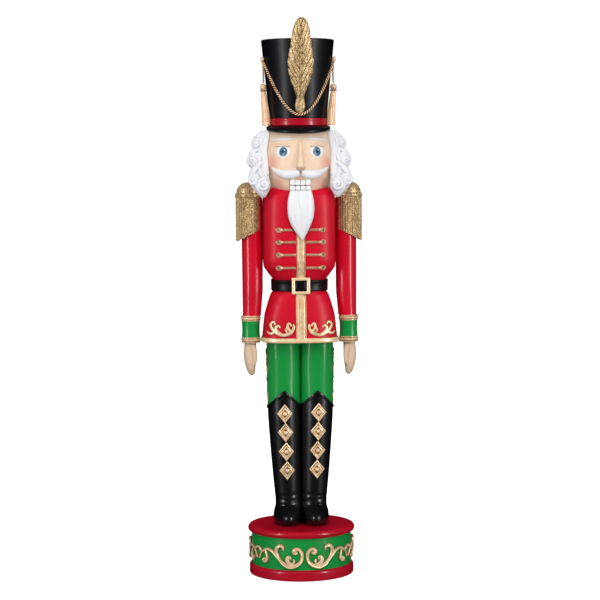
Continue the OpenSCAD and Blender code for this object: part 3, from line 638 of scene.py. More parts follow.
def boot_parts():
    """A boot with a rounded toe, ankle creases and a pointed top edge, and the welt under that edge."""
    t = around(96)
    c, s = np.cos(t), np.sin(t)
    floor_z = CAP_HIGH[2]
    edge = BOOT_TOP + 2.5 - BOOT_DIP * np.clip(np.abs(c), 0, 1) ** 1.15
    forward = np.clip(-s, 0, 1)
    rows = []
    for v in np.linspace(0, 1, 110):
        z = floor_z + v * (edge - floor_z)
        a, b, cx = boot_at(z)
        toe = forward ** 1.6 * np.exp(-(((z - 94) / 15.5) ** 4)) * 15 + forward ** 3 * hump(z, 96, 8) * 4
        creases = 1.5 * hump(z, 116 - 3 * c, 2.4) + 1.3 * hump(z, 123 + 2.5 * c, 2.2) \
            + 0.8 * hump(z, 131 - 2 * c, 2.6)
        r = 1 - creases * np.clip(0.25 - s, 0, 1) / 24 - 1.2 * hump(z, floor_z, 3.2) / 24
        outer = np.where(c > 0, a * r, cx + 0.3)
        rows.append(np.stack([cx + outer * c, b * s * r - toe, z], axis=1))
    rim = rows[-1]
    middle = np.array([LEG_X, 0, 0])

    def scaled(grow, up):
        return middle + (rim - middle) * [grow, grow, 1] + [0, 0, up]

    lip = ((1.03, 1.0), (1.02, 2.6), (0.985, 3.2), (0.95, 2.6), (0.94, -4))
    rows += [scaled(grow, up) for grow, up in lip]
    rows.append(oval(t, BOOT_EDGE - 12, 24.5, cx=LEG_X))
    welt = scaled(1.02, -1.5)
    return [loft(rows), sweep(np.vstack([welt, welt[:2]]), 1.5, 1.5, sides=10)]


def diamond_parts(across, up):
    """One boot's lozenge plates, each with a raised frame and a domed stud, moved across and up by
    as much as the photograph's two rows differ."""
    half_w, half_h, inset = 13.0, 16.1, 14.6
    low, high = node_box("boot_diamonds")
    step = (high[2] - low[2] - 2 * inset) / 3
    n = 64
    outline = np.stack([np.cos(around(n)), np.sin(around(n))], axis=1)
    outline /= np.abs(outline).sum(axis=1)[:, None]
    # the plates' upper side, where a painted shadow under the frame goes
    upper = outline[:, 1] > 0.02
    steps = [  # share of the outline, lift off the boot, painted shade
        (1.0, -0.6, 1), (1.0, 1.0, 0.8), (0.955, 2.2, 0.1), (0.87, 2.7, 0), (0.82, 2.7, 0.1 + 0.3 * upper),
        (0.72, 2.0, 0.3 + 0.7 * upper), (0.65, 2.2, 0), (0.48, 2.5, 0.1), (0.36, 2.4, 1), (0.06, 2.4, 1)]
    brown = np.concatenate([np.broadcast_to(q[2], n) for q in steps])
    plates, studs = [], []
    for i, nudge in enumerate((2.6, 2.4, 1.4, 0.8)):
        z0 = high[2] - inset - i * step + nudge + up
        cx = float(soft(z0, BOOT_Z, BOOT_X, 4)) + across
        rows = []
        for k, lift, _ in steps:
            x, z = cx + outline[:, 0] * half_w * k, z0 + outline[:, 1] * half_h * k
            rows.append(np.stack([x, boot_front(x, z) - lift, z], axis=1))
        plates.append((*loft(rows), brown))
        studs.append(ball((cx, float(boot_front(cx, z0)) - 2.9, z0), 3.7, (1, 0.95, 1), n=16))
    return plates, studs


def leg_flare(z):
    """What the trouser leg's radius gains by height z: 2.5 mm over the 124 mm that show."""
    return 2.5 * (z - 262) / 124


def trouser_parts():
    """A turned leg with faint folds, flattened where the two legs meet."""
    t = around(96)
    rows = []
    for z in np.linspace(BOOT_EDGE - 14, HEM_Z + 3, 60):
        r = 25.2 + leg_flare(z) + 0.35 * np.sin(3 * t + z * 0.03) + 0.25 * np.sin(5 * t - z * 0.05)
        rows.append(oval(t, z, np.where(np.cos(t) > 0, r * 1.012, LEG_X + 0.3), r, LEG_X))
    return [loft(rows)]


def leg_trim_parts():
    """Scrolls that climb the leg's outer seam."""
    def on_leg(points, n, w, h):
        path = curve(points, n)
        z = path[:, 1]
        r = 25.3 + leg_flare(z)
        a = path[:, 0] / r
        width = swell(n, 0.45, 0.7, 0.04)
        return relief(oval(a, z, r * 1.012, r, LEG_X), w * width, h * width, oval(a, 0, 1))

    parts = []
    for i in range(4):
        z0 = 290 + i * 23
        side = 1 if i % 2 else -1
        parts.append(on_leg([[0, z0 - 8], [6 * side, z0 - 1], [5.5 * side, z0 + 8], [0, z0 + 13],
                             [-4 * side, z0 + 15]], 40, 1.9, 2.0))
        parts.append(on_leg([[4.5 * side, z0 + 5], [-2 * side, z0 + 5.5], [-5 * side, z0 + 1],
                             [-2.5 * side, z0 - 2.5]], 28, 1.6, 1.8))
    return parts


def build_legs():
    """Boots and trouser legs each side, with their plates, domes and scrolls."""
    for side, name in SIDES:
        piece(name + "_boot_carved", on_side(side, boot_parts()), BOOT_BLACK, name + "_boot")
        piece(name + "_leg_turned", on_side(side, trouser_parts()), GREEN, name + "_trouser_leg")
    plates, studs = diamond_parts(1.4, 2.0)
    right_plates, right_studs = diamond_parts(0.0, 0.4)
    piece("boot_plates", plates + mirrored(right_plates), GOLD, "boot_diamonds")
    piece("boot_domes", studs + mirrored(right_studs), CORD_GOLD, "boot_studs")
    trims = leg_trim_parts()
    piece("leg_scrolls", trims + mirrored(trims), GOLD, "trouser_side_trims")


build_legs()

# ------------------------------------------------------- coat
SPLIT_Z = SKIRT_HIGH[2]
COLLAR_Z = CHEST_HIGH[2]
HEM_A = SKIRT_HIGH[0]
CHEST_A, CHEST_B = CHEST_HIGH[0], CHEST_HIGH[1]
WAIST_A, WAIST_B = 44.0, 38.0
# height, half width, half depth, squareness (2 is an oval)
SKIRT = [[HEM_Z, HEM_A, 48, 3.1], [430, HEM_A - 4.5, 45, 3.1], [450, HEM_A - 10, 42, 3.0],
         [465, WAIST_A + 3.5, WAIST_B + 1, 2.7], [469, WAIST_A, WAIST_B, 2.4],
         [SPLIT_Z, WAIST_A, WAIST_B, 2.4]]
CHEST = [[SPLIT_Z, WAIST_A, WAIST_B, 2.4], [490, WAIST_A + 0.5, WAIST_B, 2.4],
         [498, WAIST_A + 7, WAIST_B + 5, 2.6], [509, CHEST_A - 0.6, CHEST_B - 2.5, 3.2],
         [521, CHEST_A + 0.6, CHEST_B, 3.4], [600, CHEST_A + 0.6, CHEST_B, 3.4],
         [618, CHEST_A + 0.5, CHEST_B - 1, 3.3], [626, CHEST_A - 0.4, CHEST_B - 2.2, 3.0],
         [631, CHEST_A - 2.4, CHEST_B - 3.6, 2.7], [COLLAR_Z, CHEST_A - 8, CHEST_B - 5.5, 2.3]]


def level(table, z, k):
    """Column k of a table at height z."""
    return soft(np.asarray(z, float), [q[0] for q in table], [q[k] for q in table])


def front(table, x, z, out=0.0):
    """A point on the front of the coat, out proud of it, and the way the surface faces."""
    a, b, p = (level(table, z, k) for k in (1, 2, 3))
    u = np.clip(np.abs(x) / a, 0, 0.985)
    y = -b * (1 - u ** p) ** (1 / p)
    slope = np.sign(x) * (b / a) * u ** (p - 1) * (1 - u ** p) ** (1 / p - 1)
    N = np.stack([slope, -np.ones_like(slope), np.zeros_like(slope)], axis=-1)
    N /= np.linalg.norm(N, axis=-1)[..., None]
    P = np.stack([np.asarray(x, float), y, np.broadcast_to(z, np.shape(y))], axis=-1)
    return P + N * out, N


def coat_rows(table, zs, detail=None):
    """Loops round the coat at the heights zs, pushed out by detail(angle, height)."""
    t = around(160)
    c, s = np.cos(t), np.sin(t)
    rows = []
    for z in zs:
        a, b, p = (float(level(table, z, k)) for k in (1, 2, 3))
        out = detail(t, z) if detail else 0
        rows.append(np.stack([(a + out) * np.sign(c) * np.abs(c) ** (2 / p),
                              (b + out) * np.sign(s) * np.abs(s) ** (2 / p), z + 0 * t], axis=1))
    return np.array(rows)


def coat_band(table, profile):
    """A band round the coat from a profile of (height, how far out)."""
    rows = [coat_rows(table, [z], lambda t, _: out)[0] for z, out in profile]
    return loft(rows, capped=False)


def build_skirt():
    """The flared skirt, with soft folds that deepen to the hem, and its gilt hem band."""
    def fold(t, z):
        low = np.clip((470 - z) / 84, 0, 1)
        return low * (0.5 * np.sin(4 * t + 0.6) + 0.35 * np.sin(7 * t - 1.1))

    rows = coat_rows(SKIRT, np.linspace(HEM_Z, SPLIT_Z, 80), fold)
    piece("skirt_carved", [loft(rows)], COAT_RED, "coat_skirt")
    profile = ((0, 0), (0, 0.7), (1, 1.5), (3, 1.9), (5.6, 1.9), (7.6, 1.4), (8.4, 0.6), (8.4, -0.4))
    hem = coat_band(SKIRT, [(HEM_Z + up, out) for up, out in profile])
    # painted shade along the band's top and bottom edges
    piece("hem_gilt", [banded(hem, [1, 0.9, 0.4, 0, 0, 0.3, 1, 1])], GOLD, "hem_band")


def front_strip(table, low, high, half):
    """A gilt strip down the front with a soft groove near each edge."""
    rows_count, thick, groove_at = 60, 1.9, 0.72
    across = np.linspace(-1, 1, 21)
    off_groove = np.abs(across) - groove_at
    lift = thick * (1 - np.abs(across) ** 8) ** 0.5 - 0.7 * np.exp(-(off_groove / 0.08) ** 2)
    rows = []
    for z in np.linspace(low, high, rows_count):
        P, _ = front(table, across * half, z + 0 * across)
        P[:, 1] -= lift
        rows.append(np.vstack([P, P[[-1, 0]] + [0, 2.2, 0]]))
    # painted shade in the grooves and along the edges
    brown = np.maximum(np.exp(-(off_groove / 0.07) ** 2), np.abs(across) ** 14)
    return [(*loft(rows), np.tile(np.append(brown, [1, 1]), rows_count))]


def build_skirt_scrolls():
    """A spray of leaves in each lower corner of the skirt's front."""
    strokes = [  # path as (across, height), points, half width, height
        ([[16, 415], [20.5, 418.5], [22.5, 412], [18, 403.5], [28, 399.5], [38, 402], [46, 409],
          [49, 416.5], [44.5, 420.5], [41.5, 416.8]], 110, 2.1, 2.3),
        ([[31, 401], [38, 405], [41.5, 411], [37, 414.5], [34.6, 411.5]], 44, 1.9, 2.1),
        ([[12.8, 417], [13, 410], [17.5, 402.5], [24, 400]], 40, 1.9, 2.1),
        ([[42, 404], [49, 401.8], [54.5, 404.2]], 26, 1.7, 1.9),
        ([[23, 403], [25.4, 408], [23.4, 411.5]], 20, 1.4, 1.7),
    ]
    parts = []
    for points, n, w, h in strokes:
        path = curve(points, n)
        P, N = front(SKIRT, path[:, 0], path[:, 1])
        width = swell(n, 0.42)
        parts.append(relief(P, 1.5 * w * width, 1.4 * h * width, N, ridge=0.12))
    for x, z, r in ((16.8, 415.2, 2.0), (42.4, 417.2, 1.9), (35.4, 412, 1.7)):
        parts.append(ball(front(SKIRT, x, z)[0], r, n=10))
    piece("skirt_gilt_scrolls", parts + mirrored(parts), GOLD, "skirt_scrolls")


def build_chest():
    """The chest, its collar rising towards the shoulders, with the slot that the jaw lever moves in."""
    def slack(t, z):
        return 0.3 * np.sin(3 * t + z * 0.02) * np.clip((632 - z) / 20, 0, 1)

    zs = np.concatenate([np.linspace(SPLIT_Z, 512, 24), np.linspace(514, 612, 40),
                         np.linspace(614, COLLAR_Z, 22)])
    rows = coat_rows(CHEST, zs, slack)
    x, y, z = (rows[..., k] for k in range(3))
    rise = np.clip((np.abs(x) - 14) / 30, 0, 1) ** 1.3 * np.clip((z - 618) / (COLLAR_Z - 618), 0, 1)
    rows[..., 2] += 5.0 * rise * (y < 0)
    chest = piece("chest_carved", [loft(rows)], COAT_RED, "coat_chest")
    # the lever's slot, open at the front, the back and the top, then room for the beard's root
    half, above, chin = LEVER_HALF + 0.4, 660, 17.6
    cut_box(chest, (-half, -70, 574), (half, -38, above))
    cut_box(chest, (-half, -39, 562), (half, 30, above))
    cut_box(chest, (-half, 29, 557), (half, 70, above))
    cut_box(chest, (-chin, -70, COLLAR_Z - 5), (chin, -37, COLLAR_Z + 9))
    seams = []
    for side in (-1, 1):
        z = np.linspace(512, 628, 60)
        P, N = front(CHEST, side * (CHEST_A - 7.5) + 0 * z, z)
        seams.append(relief(P, 0.9, 0.5, N, ridge=0))
    piece("chest_edge_lines", seams, COAT_RED)


def build_frogging():
    """Four rows of twisted cord each side, with a looped knot at the outer end."""
    parts = []
    for i, z in enumerate((509.2, 530.4, 551, 571)):
        start = 8.4 if i < 3 else 13.5  # the top row starts at the beard's edge
        P, N = front(CHEST, np.linspace(start, 36, 40), np.full(40, z), 1.3)
        parts += rope(P, 2.1, 9.0, up=N)
        for dz in (-1, 1):
            loop = curve([[30.5, z], [33, z + 2.2 * dz], [36.5, z + 2.8 * dz], [39.2, z + 0.7 * dz],
                          [37, z]], 24)
            P, N = front(CHEST, loop[:, 0], loop[:, 1], 1.6)
            parts += rope(P, 1.5, 7, 6, N)
        parts.append(ball(front(CHEST, 31.2, z, 1.6)[0], 2.0, (1, 0.8, 1.15), n=10))
    piece("frogging_cords", parts + mirrored(parts), CORD_GOLD, "coat_frogging")


def build_belt():
    """The belt, a gilt buckle with bevelled bars, and the strap's end seen through it."""
    low, high = BELT_LOW[2], BELT_HIGH[2]
    lower = [(0, -0.5), (0, 1.6), (0.8, 2.6), (2.2, 3.0), (3.2, 2.5)]
    profile = [(low + up, out) for up, out in lower] + [(low + 9, 2.8)]
    profile += [(high - up, out) for up, out in lower[::-1]]
    piece("belt_strap", [coat_band(CHEST, profile)], BLACK, "belt")

    mid, y = (low + high) / 2, -(WAIST_B + 3.2)
    outline = []
    for sx, sz, a0 in ((1, 1, 0), (-1, 1, 90), (-1, -1, 180), (1, -1, 270)):
        outline += arc(sx * 13.6, sz * 12.2, 1.4, a0, a0 + 90, 5)
    outline = np.array(outline)
    bevel = ((1.0, -0.4), (1.0, 2.4), (0.965, 3.3), (0.86, 3.6), (0.72, 3.3), (0.655, 2.5), (0.65, -0.4))
    rows = []
    for k, out in bevel:
        x, up = (outline * k).T
        rows.append(np.stack([x, y - out + 0 * x, mid + up], axis=1))
    rows.append(rows[0])
    piece("buckle_frame", [loft(rows, capped=False)], GOLD, "belt_buckle")

    half = 8.6
    x = np.linspace(-half, half, 13)
    rows = []
    for up, lift in ((-8, 0.0), (-7, 1.5), (-3, 2.0), (3, 2.0), (7, 1.5), (8, 0.0)):
        z = mid + up
        bow = np.stack([x, y + 0.3 - lift * (1 - np.abs(x / 8.7) ** 6), z + 0 * x], axis=1)
        rows.append(np.vstack([bow, [[half, y + 1.5, z], [-half, y + 1.5, z]]]))
    piece("buckle_tongue", [loft(rows)], BLACK)


build_skirt()
build_skirt_scrolls()
piece("placket_low", front_strip(SKIRT, HEM_Z + 8, BELT_LOW[2], 8.7), GOLD, "skirt_placket")
build_chest()
piece("placket_high", front_strip(CHEST, BELT_HIGH[2], 566, 7.3), GOLD, "chest_placket")
build_frogging()
build_belt()

# ------------------------------------------------------- arms
SLEEVE_X = 77.3
CUFF_X, CUFF_R = (RING_LOW[0] + RING_HIGH[0]) / 2, (RING_HIGH[0] - RING_LOW[0]) / 2
DOME_X, DOME_R = (DOME_LOW[0] + DOME_HIGH[0]) / 2, (DOME_HIGH[0] - DOME_LOW[0]) / 2
RING_H = 9.2


def sleeve_parts():
    """The sleeve, with the soft folds that a bent cloth arm would have."""
    t = around(80)
    rows = []
    for z in np.linspace(SLEEVE_LOW[2], SLEEVE_HIGH[2], 130):
        r = float(soft(z, [429, 440, 470, 500, 540, 622], [15.0, 15.4, 17.0, 17.2, 17.2, 17.2], 6))
        cx = float(soft(z, [429, 440, 470, 622], [79, 78.5, SLEEVE_X, SLEEVE_X], 8))
        rows.append(oval(t, z, r + 0.2 * np.sin(2 * t + z * 0.035) * hump(z, 480, 40), cx=cx))
    return [loft(rows)]


def cuff_parts():
    """The green cuff, and a gilt moulding at each end with painted shade in its grooves."""
    low, high = RING_LOW[2], RING_HIGH[2]
    z0, z1 = low + RING_H - 1, high - RING_H + 1
    waist = [[CUFF_R - 0.2 - 0.7 * math.sin(math.pi * k), z0 + k * (z1 - z0)] for k in np.linspace(0, 1, 20)]
    body = [[AXIS, z0]] + waist + [[AXIS, z1]]
    r = CUFF_R - 0.4
    rings = []
    for z in (low, high - RING_H):
        profile = [[AXIS, z]] + arc(r - 0.6, z + 1.4, 1.5, -90, 0) + [[r + 0.3, z + 2.2]] \
            + arc(r - 0.8, z + RING_H / 2, 2.4, -60, 60, 12) + [[r + 0.3, z + RING_H - 2.2]] \
            + arc(r - 0.6, z + RING_H - 1.4, 1.5, 0, 90) + [[AXIS, z + RING_H]]
        browns = [1, 1, 0.6] + [0] * 5 + [0.4, 1, 0.7] + [0] * 9 + [0.7, 1, 0.4] + [0] * 5 + [0.6, 1, 1]
        browns = np.interp(np.linspace(0, 1, len(profile)), np.linspace(0, 1, len(browns)), browns)
        rings.append(banded(lathe(profile, 96, CUFF_X), browns))
    return [lathe(body, 96, CUFF_X)], rings


def hand_parts():
    """A relaxed mitten of a hand: the fingers held together and parted by grooves, the thumb in front."""
    top, tip = HAND_HIGH[2], HAND_LOW[2]
    t = around(72)
    rows = []
    for k in np.linspace(0, 1, 70):
        across = float(soft(k, [0, 0.1, 0.3, 0.5, 0.7, 0.85, 0.94, 1],
                            [9.8, 10.0, 10.6, 10.2, 8.6, 6.9, 5.2, 1.8], 0.02))
        deep = float(soft(k, [0, 0.1, 0.35, 0.6, 0.8, 0.95, 1], [8.6, 9.6, 12.6, 12.8, 10.8, 6.0, 1.2], 0.03))
        cx = float(soft(k, [0, 0.3, 0.7, 1], [81.6, 83.0, 82.2, 80.0], 0.1))
        cy = float(soft(k, [0, 0.5, 1], [0, -3.0, -4.5], 0.1))
        finger = np.sin(t) * deep / 5.6
        part = (1 - np.abs(np.cos(finger * math.pi / 2 + 0.4)) ** 0.35) * np.clip((k - 0.42) / 0.2, 0, 1)
        r = 1 - 0.055 * part * np.clip(np.abs(np.cos(t)) * 2, 0, 1)
        rows.append(oval(t, top + k * (tip - top), across * r, deep, cx, cy))
    thumb = curve([[78, -7, top - 4], [75.6, -11.5, top - 15], [75.2, -13.6, top - 27],
                   [77.6, -14.0, top - 38]], 30)
    r = np.interp(np.linspace(0, 1, 30), [0, 0.5, 0.85, 1], [4.6, 4.2, 3.4, 1.4])
    return [loft(rows), sweep(thumb, r, sides=16)]


def epaulette_parts():
    """A padded dome on a thick rolled rim."""
    z0, z1, tube = DOME_LOW[2], DOME_HIGH[2], 4.4
    edge = DOME_R - tube
    inner = edge + 1.4
    rise = z1 - z0 - 2 * tube + 0.6
    dome = [[AXIS, z0]] + arc(edge, z0 + tube, tube, -90, 70, 16)
    dome += [[inner * math.cos(a) ** 0.8 + AXIS, z0 + 2 * tube - 0.6 + rise * math.sin(a)]
             for a in np.linspace(0.05, 1.5, 24)]
    return [lathe(dome + [[AXIS, z1]], 128, DOME_X)]


def fringe_parts():
    """Rows of twisted bullion that hang from the epaulette's rim to a slanted edge."""
    high = FRINGE_HIGH[2] + 1
    row_r, count, lining_r = 19.3, 30, 18.8
    slant = math.tan(math.radians(27))
    low_at = lambda x: 552 + np.maximum(FRINGE_HIGH[0] - x, 0) * slant
    axis = [[DOME_X, 0, h] for h in np.linspace(high, 545, 200)]
    parts = []
    for i in range(count):
        a = 2 * math.pi * i / count
        x, y = DOME_X + row_r * math.cos(a), row_r * math.sin(a)
        if x < SLEEVE_X - 15.6:  # none against the coat
            continue
        sway = 0.3 * math.sin(i * 2.4)
        z = np.linspace(high, low_at(x) + 0.8 * math.sin(i * 1.7), 30)
        line = np.stack([x + sway * np.linspace(0, 1, 30), np.full(30, y), z], axis=1)
        strand = sweep(line, 2.25 + 0.12 * np.sin(z * 1.3 + i), sides=12)
        # painted shade on the strands' inner sides, towards the dome's axis
        parts.append(shaded_by_axis(strand, axis, 19.6, 20.5))
    t = around(96)
    low = low_at(DOME_X + lining_r * np.cos(t)) + 1.5
    rows = [oval(t, high - 0.5 + k * (low - high + 0.5), lining_r, cx=DOME_X) for k in np.linspace(0, 1, 12)]
    rows.append(oval(t, rows[-1][:, 2], 17.3, cx=DOME_X - 2))
    parts.append(loft(rows))
    edge = oval(t, low_at(DOME_X + 19.6 * np.cos(t)) + 1.2, 19.6, cx=DOME_X)
    parts.append(sweep(np.vstack([edge, edge[:2]]), 1.1, 1.5, sides=8))
    return parts


def build_arms():
    """Each arm's pieces, which turn together about the shoulder."""
    for side, name in SIDES:
        arm = name + "_arm"
        cuff, rings = cuff_parts()
        piece(name + "_sleeve_carved", on_side(side, sleeve_parts()), RED, name + "_sleeve", arm)
        piece(name + "_cuff_turned", on_side(side, cuff), GREEN, name + "_cuff", arm)
        piece(name + "_cuff_gilt", on_side(side, rings), GOLD, name + "_cuff_rings", arm)
        piece(name + "_hand_carved", on_side(side, hand_parts()), HAND_SKIN, name + "_hand", arm, fuse=0.6,
              soften=4, reach=2.5)
        piece(name + "_epaulette", on_side(side, epaulette_parts()), GLITTER, name + "_epaulette_cap", arm)
        piece(name + "_bullion", on_side(side, fringe_parts()), BULLION, name + "_epaulette_fringe", arm)


build_arms()

# ------------------------------------------------------- head
HEAD_R = HEAD_HIGH[0]
HEAD_Z = [634, 641, 655, 675, 695, 715, 731]
HEAD_RADII = [44, 47.5, 51.5, HEAD_R, HEAD_R - 0.3, 50.5, 47.5]
FACE_WIDTH = 1.035
EYE_Z, EYE_TURN = 698.5, 32.0
MOUTH_TOP = 652.2
NOSE_TOP, NOSE_TIP = 717.5, 670.5
BROW_Z, MOUSTACHE_Z, LIP_Z = 718.4, 663.6, 653.6


def head_r(t, z):
    """The face's radius at angle t from the front (radians) and height z, with its sockets and cheeks."""
    ta = np.abs(np.degrees(t))
    socket = hump(ta, EYE_TURN, 15) * hump(z, EYE_Z + 2, 10)
    brow = hump(ta, 30, 20) * hump(z, 713.5, 3.6)
    cheek = hump(ta, 42, 16) * hump(z, 676, 9)
    chin = hump(ta, 0, 26) * hump(z, 637, 5)
    return soft(z, HEAD_Z, HEAD_RADII, 4) - 1.8 * socket + 1.3 * brow + 1.2 * cheek - 0.5 * chin


def face(t, z, out=0.0):
    """A point on the face, and the way the skin faces there."""
    t, z = np.asarray(t, float), np.asarray(z, float)
    r = head_r(t, z) + out
    P = np.stack([FACE_WIDTH * r * np.sin(t), -r * np.cos(t), z + 0 * r], axis=-1)
    slope = head_r(t, z + 0.5) - head_r(t, z - 0.5)
    N = np.stack([np.sin(t), -np.cos(t), -slope], axis=-1)
    return P, N / np.linalg.norm(N, axis=-1)[..., None]


def patch(centre_t, centre_z, outline, bulge, rim=0.15):
    """A domed patch on the face: outline gives its edge as distances (across, up) from the centre."""
    def ring(k, out):
        return face(centre_t + outline[:, 0] * k / HEAD_R, centre_z + outline[:, 1] * k, out)[0]

    return loft([ring(1, -0.8)] + [ring(k, rim + bulge * (1 - k * k)) for k in np.linspace(1, 0.02, 10)])


def build_skull():
    """The head block, cut away behind the mouth for the jaw."""
    t = np.linspace(-math.pi, math.pi, 240, endpoint=False)
    bottom = HEAD_LOW[2]
    rows = [face(t, z + 0 * t)[0] for z in np.linspace(bottom + 0.3, HEAD_HIGH[2], 130)]
    head = piece("face_carved", [loft(rows)], FACE_SKIN, "head_block")
    cut_box(head, (-17.4, -70, bottom - 2), (17.4, -42, MOUTH_TOP))
    cut_box(head, (-15, -44, bottom - 2), (15, 20, MOUTH_TOP))


def build_nose():
    """A long wedge of a nose, rounded on its ridge, with nostrils swelling at the tip."""
    turn = np.linspace(-math.pi / 2, math.pi / 2, 25)
    rows = []
    for z in np.linspace(NOSE_TOP, NOSE_TIP, 46):
        k = (NOSE_TOP - z) / (NOSE_TOP - NOSE_TIP)
        w = 2.4 + 5.4 * k ** 1.15 + 0.9 * hump(z, 674, 4.5)
        d = 1.0 + 15.2 * k ** 0.85
        if z < 674:
            d *= max(1 - ((674 - z) / 5) ** 2, 0.35)
        base = -float(head_r(np.array(0.0), np.array(z)))
        ridge = np.stack([w * np.sin(turn) * (1 + 0.12 * np.cos(2 * turn)), base - d * np.cos(turn) ** 0.75,
                          z + 0 * turn], axis=1)
        rows.append(np.vstack([ridge, [[w, base + 2.5, z], [-w, base + 2.5, z]]]))
    piece("nose_carved", [loft(rows)], NOSE_SKIN, "nose", soften=2)


def build_eyes():
    """Almond whites with a painted iris, a pupil and a glint, under a thin lid and lash line."""
    a = around(72)
    disc = lambda rx, rz: np.stack([rx * np.cos(a), rz * np.sin(a)], axis=1)
    bow = np.abs(np.sin(a))
    height = np.where(np.sin(a) > 0, 8.0 * bow ** 0.75, -11.0 * bow ** 1.25)
    almond = np.stack([13.0 * np.cos(a), height], axis=1)
    turn = math.radians(EYE_TURN)
    gaze, iris_z = turn - 0.035, EYE_Z - 0.6
    left = patch(turn, EYE_Z, almond, 1.9)
    piece("eyes_painted", [left] + mirrored([left]), EYE_WHITE, "eyes")
    left = patch(gaze, iris_z, disc(7.0, 7.6), 0.7, rim=1.75)
    piece("irises_painted", [left] + mirrored([left]), IRIS)
    for name, paint, r, rim, across, up in (("pupils_painted", PUPIL, 2.5, 2.45, 0.0, 0.0),
                                            ("eye_glints", EYE_WHITE, 0.8, 2.75, 0.045, 2.4)):
        dots = [patch(side * gaze + across, iris_z + up, disc(r, r), 0.25, rim) for side in (1, -1)]
        piece(name, dots, paint)
    lids, lashes = [], []
    k = np.linspace(0, 1, 40)
    arch = np.sin(math.pi * k)
    for side in (1, -1):
        ta = side * np.radians(18 + 29 * k)
        P, N = face(ta, EYE_Z + 8.1 + 1.2 * arch, 0.4)
        lids.append(sweep(P, 0.9 + 0.8 * arch, 0.9, sides=10, up=N))
        P, N = face(ta, EYE_Z + 6.9 + 1.2 * arch, 0.85)
        lashes.append(sweep(P, 0.25, 0.3, sides=8, up=N))
    piece("eyelids", lids, NOSE_SKIN)
    piece("lash_lines", lashes, LINE_BROWN)


def build_brows_and_moustache():
    """Swept strands of hair over the eyes and under the nose, and the upper lip."""
    brows, halves = [], []
    for side in (1, -1):
        k = np.linspace(0, 1, 50)
        P, N = face(side * np.radians(13 + 45 * k), BROW_Z + 0.8 * np.sin(math.pi * k) - 3.0 * k ** 1.5, 0.7)
        w = 0.5 + 1.5 * np.sin(math.pi * np.clip(k * 0.8 + 0.18, 0, 1)) ** 0.6
        brows.append(sweep(P, w, 1.1, sides=14, up=N, grooves=5, depth=0.06, twist=6))
        k = np.linspace(0, 1, 90)
        z = MOUSTACHE_Z - 4.0 * np.sin(math.pi * np.clip(k * 1.05, 0, 1)) + 8.0 * k ** 2.2
        w = 0.5 + 7.5 * np.sin(math.pi * np.clip(0.16 + 0.84 * k, 0, 1)) ** 0.75 * (1 - 0.28 * k)
        P, N = face(side * np.radians(1.6 + 53 * k), z, 0.6 + 2.2 * (1 - k))
        halves.append(sweep(P, w, 1.0 + 4.6 * (1 - k ** 1.3), sides=36, up=N, grooves=9, depth=0.035,
                            twist=3 * side))
    piece("brows_carved", brows, WHITE, "eyebrows")
    piece("moustache_carved", halves, WHITE, "moustache", soften=1)
    k = np.linspace(-1, 1, 30)
    P, N = face(np.radians(7 * k), LIP_Z - 0.8 * np.abs(k), 1.0)
    piece("upper_lip", [sweep(P, 1.6 * np.sqrt(np.clip(1 - k * k, 0.02, 1)), 1.6, sides=12, up=N)], LIP)


def tooth(x0, x1, z0, z1, front_y, back_y):
    """One tooth: a pillow with rounded front edges."""
    a = around(40)
    square = lambda v: np.sign(v) * np.abs(v) ** 0.28
    cx, cz, hx, hz = (x0 + x1) / 2, (z0 + z1) / 2, (x1 - x0) / 2, (z1 - z0) / 2
    rows = [np.stack([cx + square(np.cos(a)) * hx * k, y + 0 * a, cz + square(np.sin(a)) * hz * k], axis=1)
            for k, y in ((1.0, back_y), (1.0, front_y + 1.4), (0.96, front_y + 0.5), (0.86, front_y),
                         (0.4, front_y - 0.25), (0.03, front_y - 0.3))]
    return loft(rows)


def build_teeth():
    """Four teeth above and four below, parted by hairline gaps."""
    gap = 0.22
    edges = [node_box("upper_teeth")[0][0], -8.6, 0, 8.6, node_box("upper_teeth")[1][0]]
    for name, node, body, lift, top, proud in (("teeth_upper", "upper_teeth", "figure", 0.3, 1.5, 0.6),
                                               ("teeth_lower", "lower_teeth", "jaw", 0.2, -0.1, 1.2)):
        low, high = node_box(node)
        parts = [tooth(a + gap, b - gap, low[2] + lift, high[2] + top, low[1] + proud, high[1])
                 for a, b in zip(edges, edges[1:])]
        piece(name, parts, TOOTH, node, body)


def build_beard():
    """A smooth pointed beard with locks that flow to the tip, which hooks a little to one side."""
    z = np.linspace(BEARD_HIGH[2] + 0.6, BEARD_LOW[2] + 2.4, 130)
    half = soft(z, [555, 560, 569, 581, 592, 606, 618, 632, 635],
                [1.2, 4.8, 10.8, 17.0, 20.7, 22.0, 21.3, 18.2, 17.2], 2.5)
    bulge = soft(z, [553, 562, 575, 595, 612, 626, 635], [1.6, 4.5, 7.8, 9.6, 9.0, 6.5, 4.4], 3)
    hook = 2.6 * np.clip((585 - z) / 32, 0, 1) ** 2
    back = BEARD_HIGH[1]
    u = np.linspace(-1, 1, 61)
    rows = []
    for zi, h, b, hk in zip(z, half, bulge, hook):
        flow = u * 3.2 * (1 + 0.25 * np.sin((zi - 560) * 0.05)) + 0.55 * np.sin((zi - 600) * 0.045) + 0.2
        groove = 0.5 * (1 - np.abs(np.sin(flow * math.pi * 0.5)) ** 0.5) * np.clip(h / 14, 0, 1)
        y = back - b * (1 - np.abs(u) ** 2.3) ** 0.55 + 1.7 * groove * (1 - np.abs(u) ** 6)
        rows.append(np.vstack([np.stack([u * h + hk, y, zi + 0 * u], axis=1),
                               [[h * 0.97 + hk, back + 0.1, zi], [-h * 0.97 + hk, back + 0.1, zi]]]))
    piece("beard_carved", [loft(rows)], WHITE, "beard", "jaw", reach=2.5)


